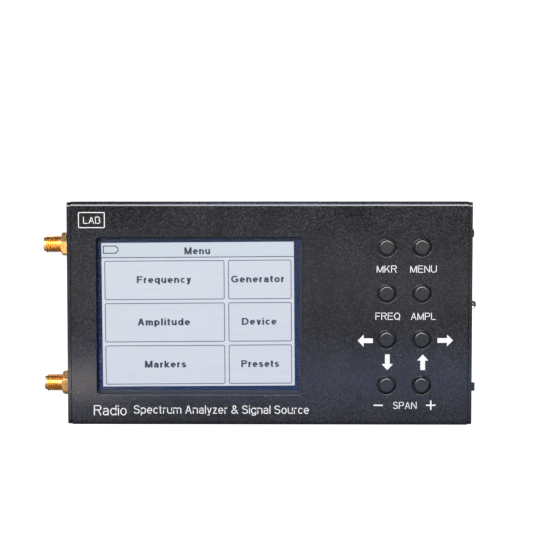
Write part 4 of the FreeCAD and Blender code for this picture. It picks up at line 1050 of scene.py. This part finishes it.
LEGENDS = {
    "legend_marker": ("MKR", 38.75, 46.01, 55.54, 58.13),
    "legend_menu": ("MENU", 50.83, 60.39, 55.54, 58.13),
    "legend_frequency": ("FREQ", 38.37, 47.29, 38.45, 41.04),
    "legend_amplitude": ("AMPL", 51.15, 60.05, 38.45, 41.04),
    "legend_span": ("SPAN", 44.90, 53.41, 6.0, 8.58),
}
for name, (words, left, right, base, top) in LEGENDS.items():
    printed_words(name, words, left, right, base, top)
printed_words("title_kind", "Radio", -63.84, -51.9, 3.5, 7.2, pen=0.088)
printed_words("title_words", "Spectrum Analyzer & Signal Source", -49.27, 14.4, 4.15, 7.2)
printed_words("label_words", "LAB", -67.24, -61.02, 73.2, 75.7)

# %% [markdown]
# Arrows, the plus and the minus have straight sides, so their outlines are a few corners each. All four
# arrows are one outline, drawn pointing right along the first axis and turned by quarter turns.

# %% Arrows, plus, minus and the boxed label
HEAD_SHARE, SHAFT, BAR_ROUND = 0.39, 1.7, 0.1


def arrow(x, z, length, span, quarter_turns):
    """An arrow's seven corners about its middle, turned by quarter turns and moved to its place."""
    tip, neck, tail = length / 2, length / 2 - HEAD_SHARE * length, -length / 2
    corners = np.array([(tip, 0), (neck, span / 2), (neck, SHAFT / 2), (tail, SHAFT / 2),
                        (tail, -SHAFT / 2), (neck, -SHAFT / 2), (neck, -span / 2)])
    turn = quarter_turns * np.pi / 2
    spin = np.array([[math.cos(turn), math.sin(turn)], [-math.sin(turn), math.cos(turn)]])
    return carried(corners @ spin + (x, z), [(FACE_Y, 0), (FACE_Y - INK, 0)])


def bar(x, z, width, height):
    """A thin upright or level bar with barely rounded ends."""
    return carried(rounded(width, height, BAR_ROUND, 3) + (x, z), [(FACE_Y, 0), (FACE_Y - INK, 0)])


ARROWS = {"left": (34.74, 30.85, 5.49, 4.42, 2), "right": (63.62, 30.97, 5.63, 4.24, 0),
          "down": (42.73, 23.03, 5.67, 4.11, 3), "up": (55.52, 23.04, 5.68, 4.08, 1)}
for name, shape in ARROWS.items():
    printed_mark("arrow_" + name, [arrow(*shape)], caps=True)
PLUS_X, PLUS_Z, PLUS_SPAN, SIGN_LINE = 58.53, 7.38, 3.45, 0.5
plus_arm = (PLUS_SPAN - SIGN_LINE) / 2
plus_offset = (plus_arm + SIGN_LINE) / 2
plus = [bar(PLUS_X, PLUS_Z, SIGN_LINE, PLUS_SPAN)]
plus += [bar(PLUS_X + side * plus_offset, PLUS_Z, plus_arm, SIGN_LINE) for side in (-1, 1)]
printed_mark("sign_plus", plus, caps=True)
printed_mark("sign_minus", [bar(39.48, 7.33, 3.37, SIGN_LINE)], caps=True)

LABEL_LOW, LABEL_HIGH = np.array([-69.07, 71.61]), np.array([-59.42, 77.36])
LABEL_LINE, LABEL_ROUND = 0.3, 0.5
label_size, label_middle = LABEL_HIGH - LABEL_LOW, (LABEL_LOW + LABEL_HIGH) / 2
outer = rounded(*label_size, LABEL_ROUND) + label_middle
inner = rounded(*(label_size - 2 * LABEL_LINE), LABEL_ROUND - LABEL_LINE) + label_middle
printed_mark("label_box", [band(outer, inner, FACE_Y, FACE_Y - INK)], wrap_rows=True)

# %% [markdown]
# ## Small things on the right end
#
# Through the clear lamp one sees what lights it: a little reflector cup on one post, and the second post
# beside it. They are turned and stamped from tinned steel. The charging socket's tongue carries a row of
# gold contacts on each side, half a millimetre apart.

# %% Inside the lamp
LAMP_Y, LAMP_Z = middle("status_lamp", "y"), middle("status_lamp", "z")
LAMP_BASE = low("status_lamp", "x")
CUP_BACK, CUP_FRONT = LAMP_BASE + 2.0, LAMP_BASE + 3.0
CUP_RADIUS, CUP_WALL, CUP_FLOOR, CUP_FOOT, CUP_HOLLOW = 0.75, 0.14, 0.35, 0.62, 0.3
POST_SIDE, POST_ROUND, POST_EASE, POST_GAP = 0.36, 0.06, 0.05, 0.02
CUP_POST_LOW, SECOND_POST_HIGH, SECOND_POST_SHORT = 0.3, 1.05, 0.2


def reflector_cup():
    """A closed profile of a small cone with a flat floor, spun about the lamp's axis."""
    floor = CUP_BACK + CUP_FLOOR
    profile = np.array([(CUP_BACK, 0.0), (CUP_BACK, CUP_RADIUS * CUP_FOOT), (CUP_FRONT, CUP_RADIUS),
                        (CUP_FRONT, CUP_RADIUS - CUP_WALL), (floor, CUP_RADIUS * CUP_HOLLOW), (floor, 0.0)])
    return lathe(profile, LAMP_Y, LAMP_Z, around=40)


def lamp_post(z, end):
    """A stamped square post carried along X from the lamp's base, with an eased end."""
    stops = [(LAMP_BASE + POST_EASE, 0), (end - POST_EASE, 0), (end, -POST_EASE)]
    return carried(rounded(POST_SIDE, POST_SIDE, POST_ROUND, 3) + (LAMP_Y, z), stops, axis="x")


cup_mesh = grids_to_mesh("lamp_cup", [reflector_cup()])
posts = [lamp_post(LAMP_Z - CUP_POST_LOW, CUP_BACK - POST_GAP),
         lamp_post(LAMP_Z + SECOND_POST_HIGH, CUP_FRONT - SECOND_POST_SHORT)]
post_mesh = grids_to_mesh("lamp_posts", posts, caps=True)
cup_and_posts = join_meshes("lamp_cup_and_posts", [cup_mesh, post_mesh])
add_piece("lamp_cup_and_posts", cup_and_posts, FINISHES["bright_steel"], smooth=35)

# %% Contacts in the charging socket
CONTACTS, CONTACT_PITCH, CONTACT_INSET = 12, 0.5, 0.5
CONTACT_LENGTH, CONTACT_WIDTH, CONTACT_ROUND, CONTACT_THICK = 2.2, 0.26, 0.08, 0.03
TONGUE_THICK = 0.7
tongue_z = middle("charging_socket_tongue", "z")
tongue_end = high("charging_socket_tongue", "x")
pad = rounded(CONTACT_LENGTH, CONTACT_WIDTH, CONTACT_ROUND, 3)
pad_x = tongue_end - CONTACT_INSET - CONTACT_LENGTH / 2
contacts = []
for place in (np.arange(CONTACTS) - (CONTACTS - 1) / 2) * CONTACT_PITCH:
    for side in (-1, 1):
        face = middle("charging_socket_tongue", "y") + side * TONGUE_THICK / 2
        stops = [(face, 0), (face + side * CONTACT_THICK, 0)]
        contacts.append(carried(pad + (pad_x, tongue_z + place), stops))
add_piece("charging_contacts", grids_to_mesh("charging_contacts", contacts, caps=True), GOLD)
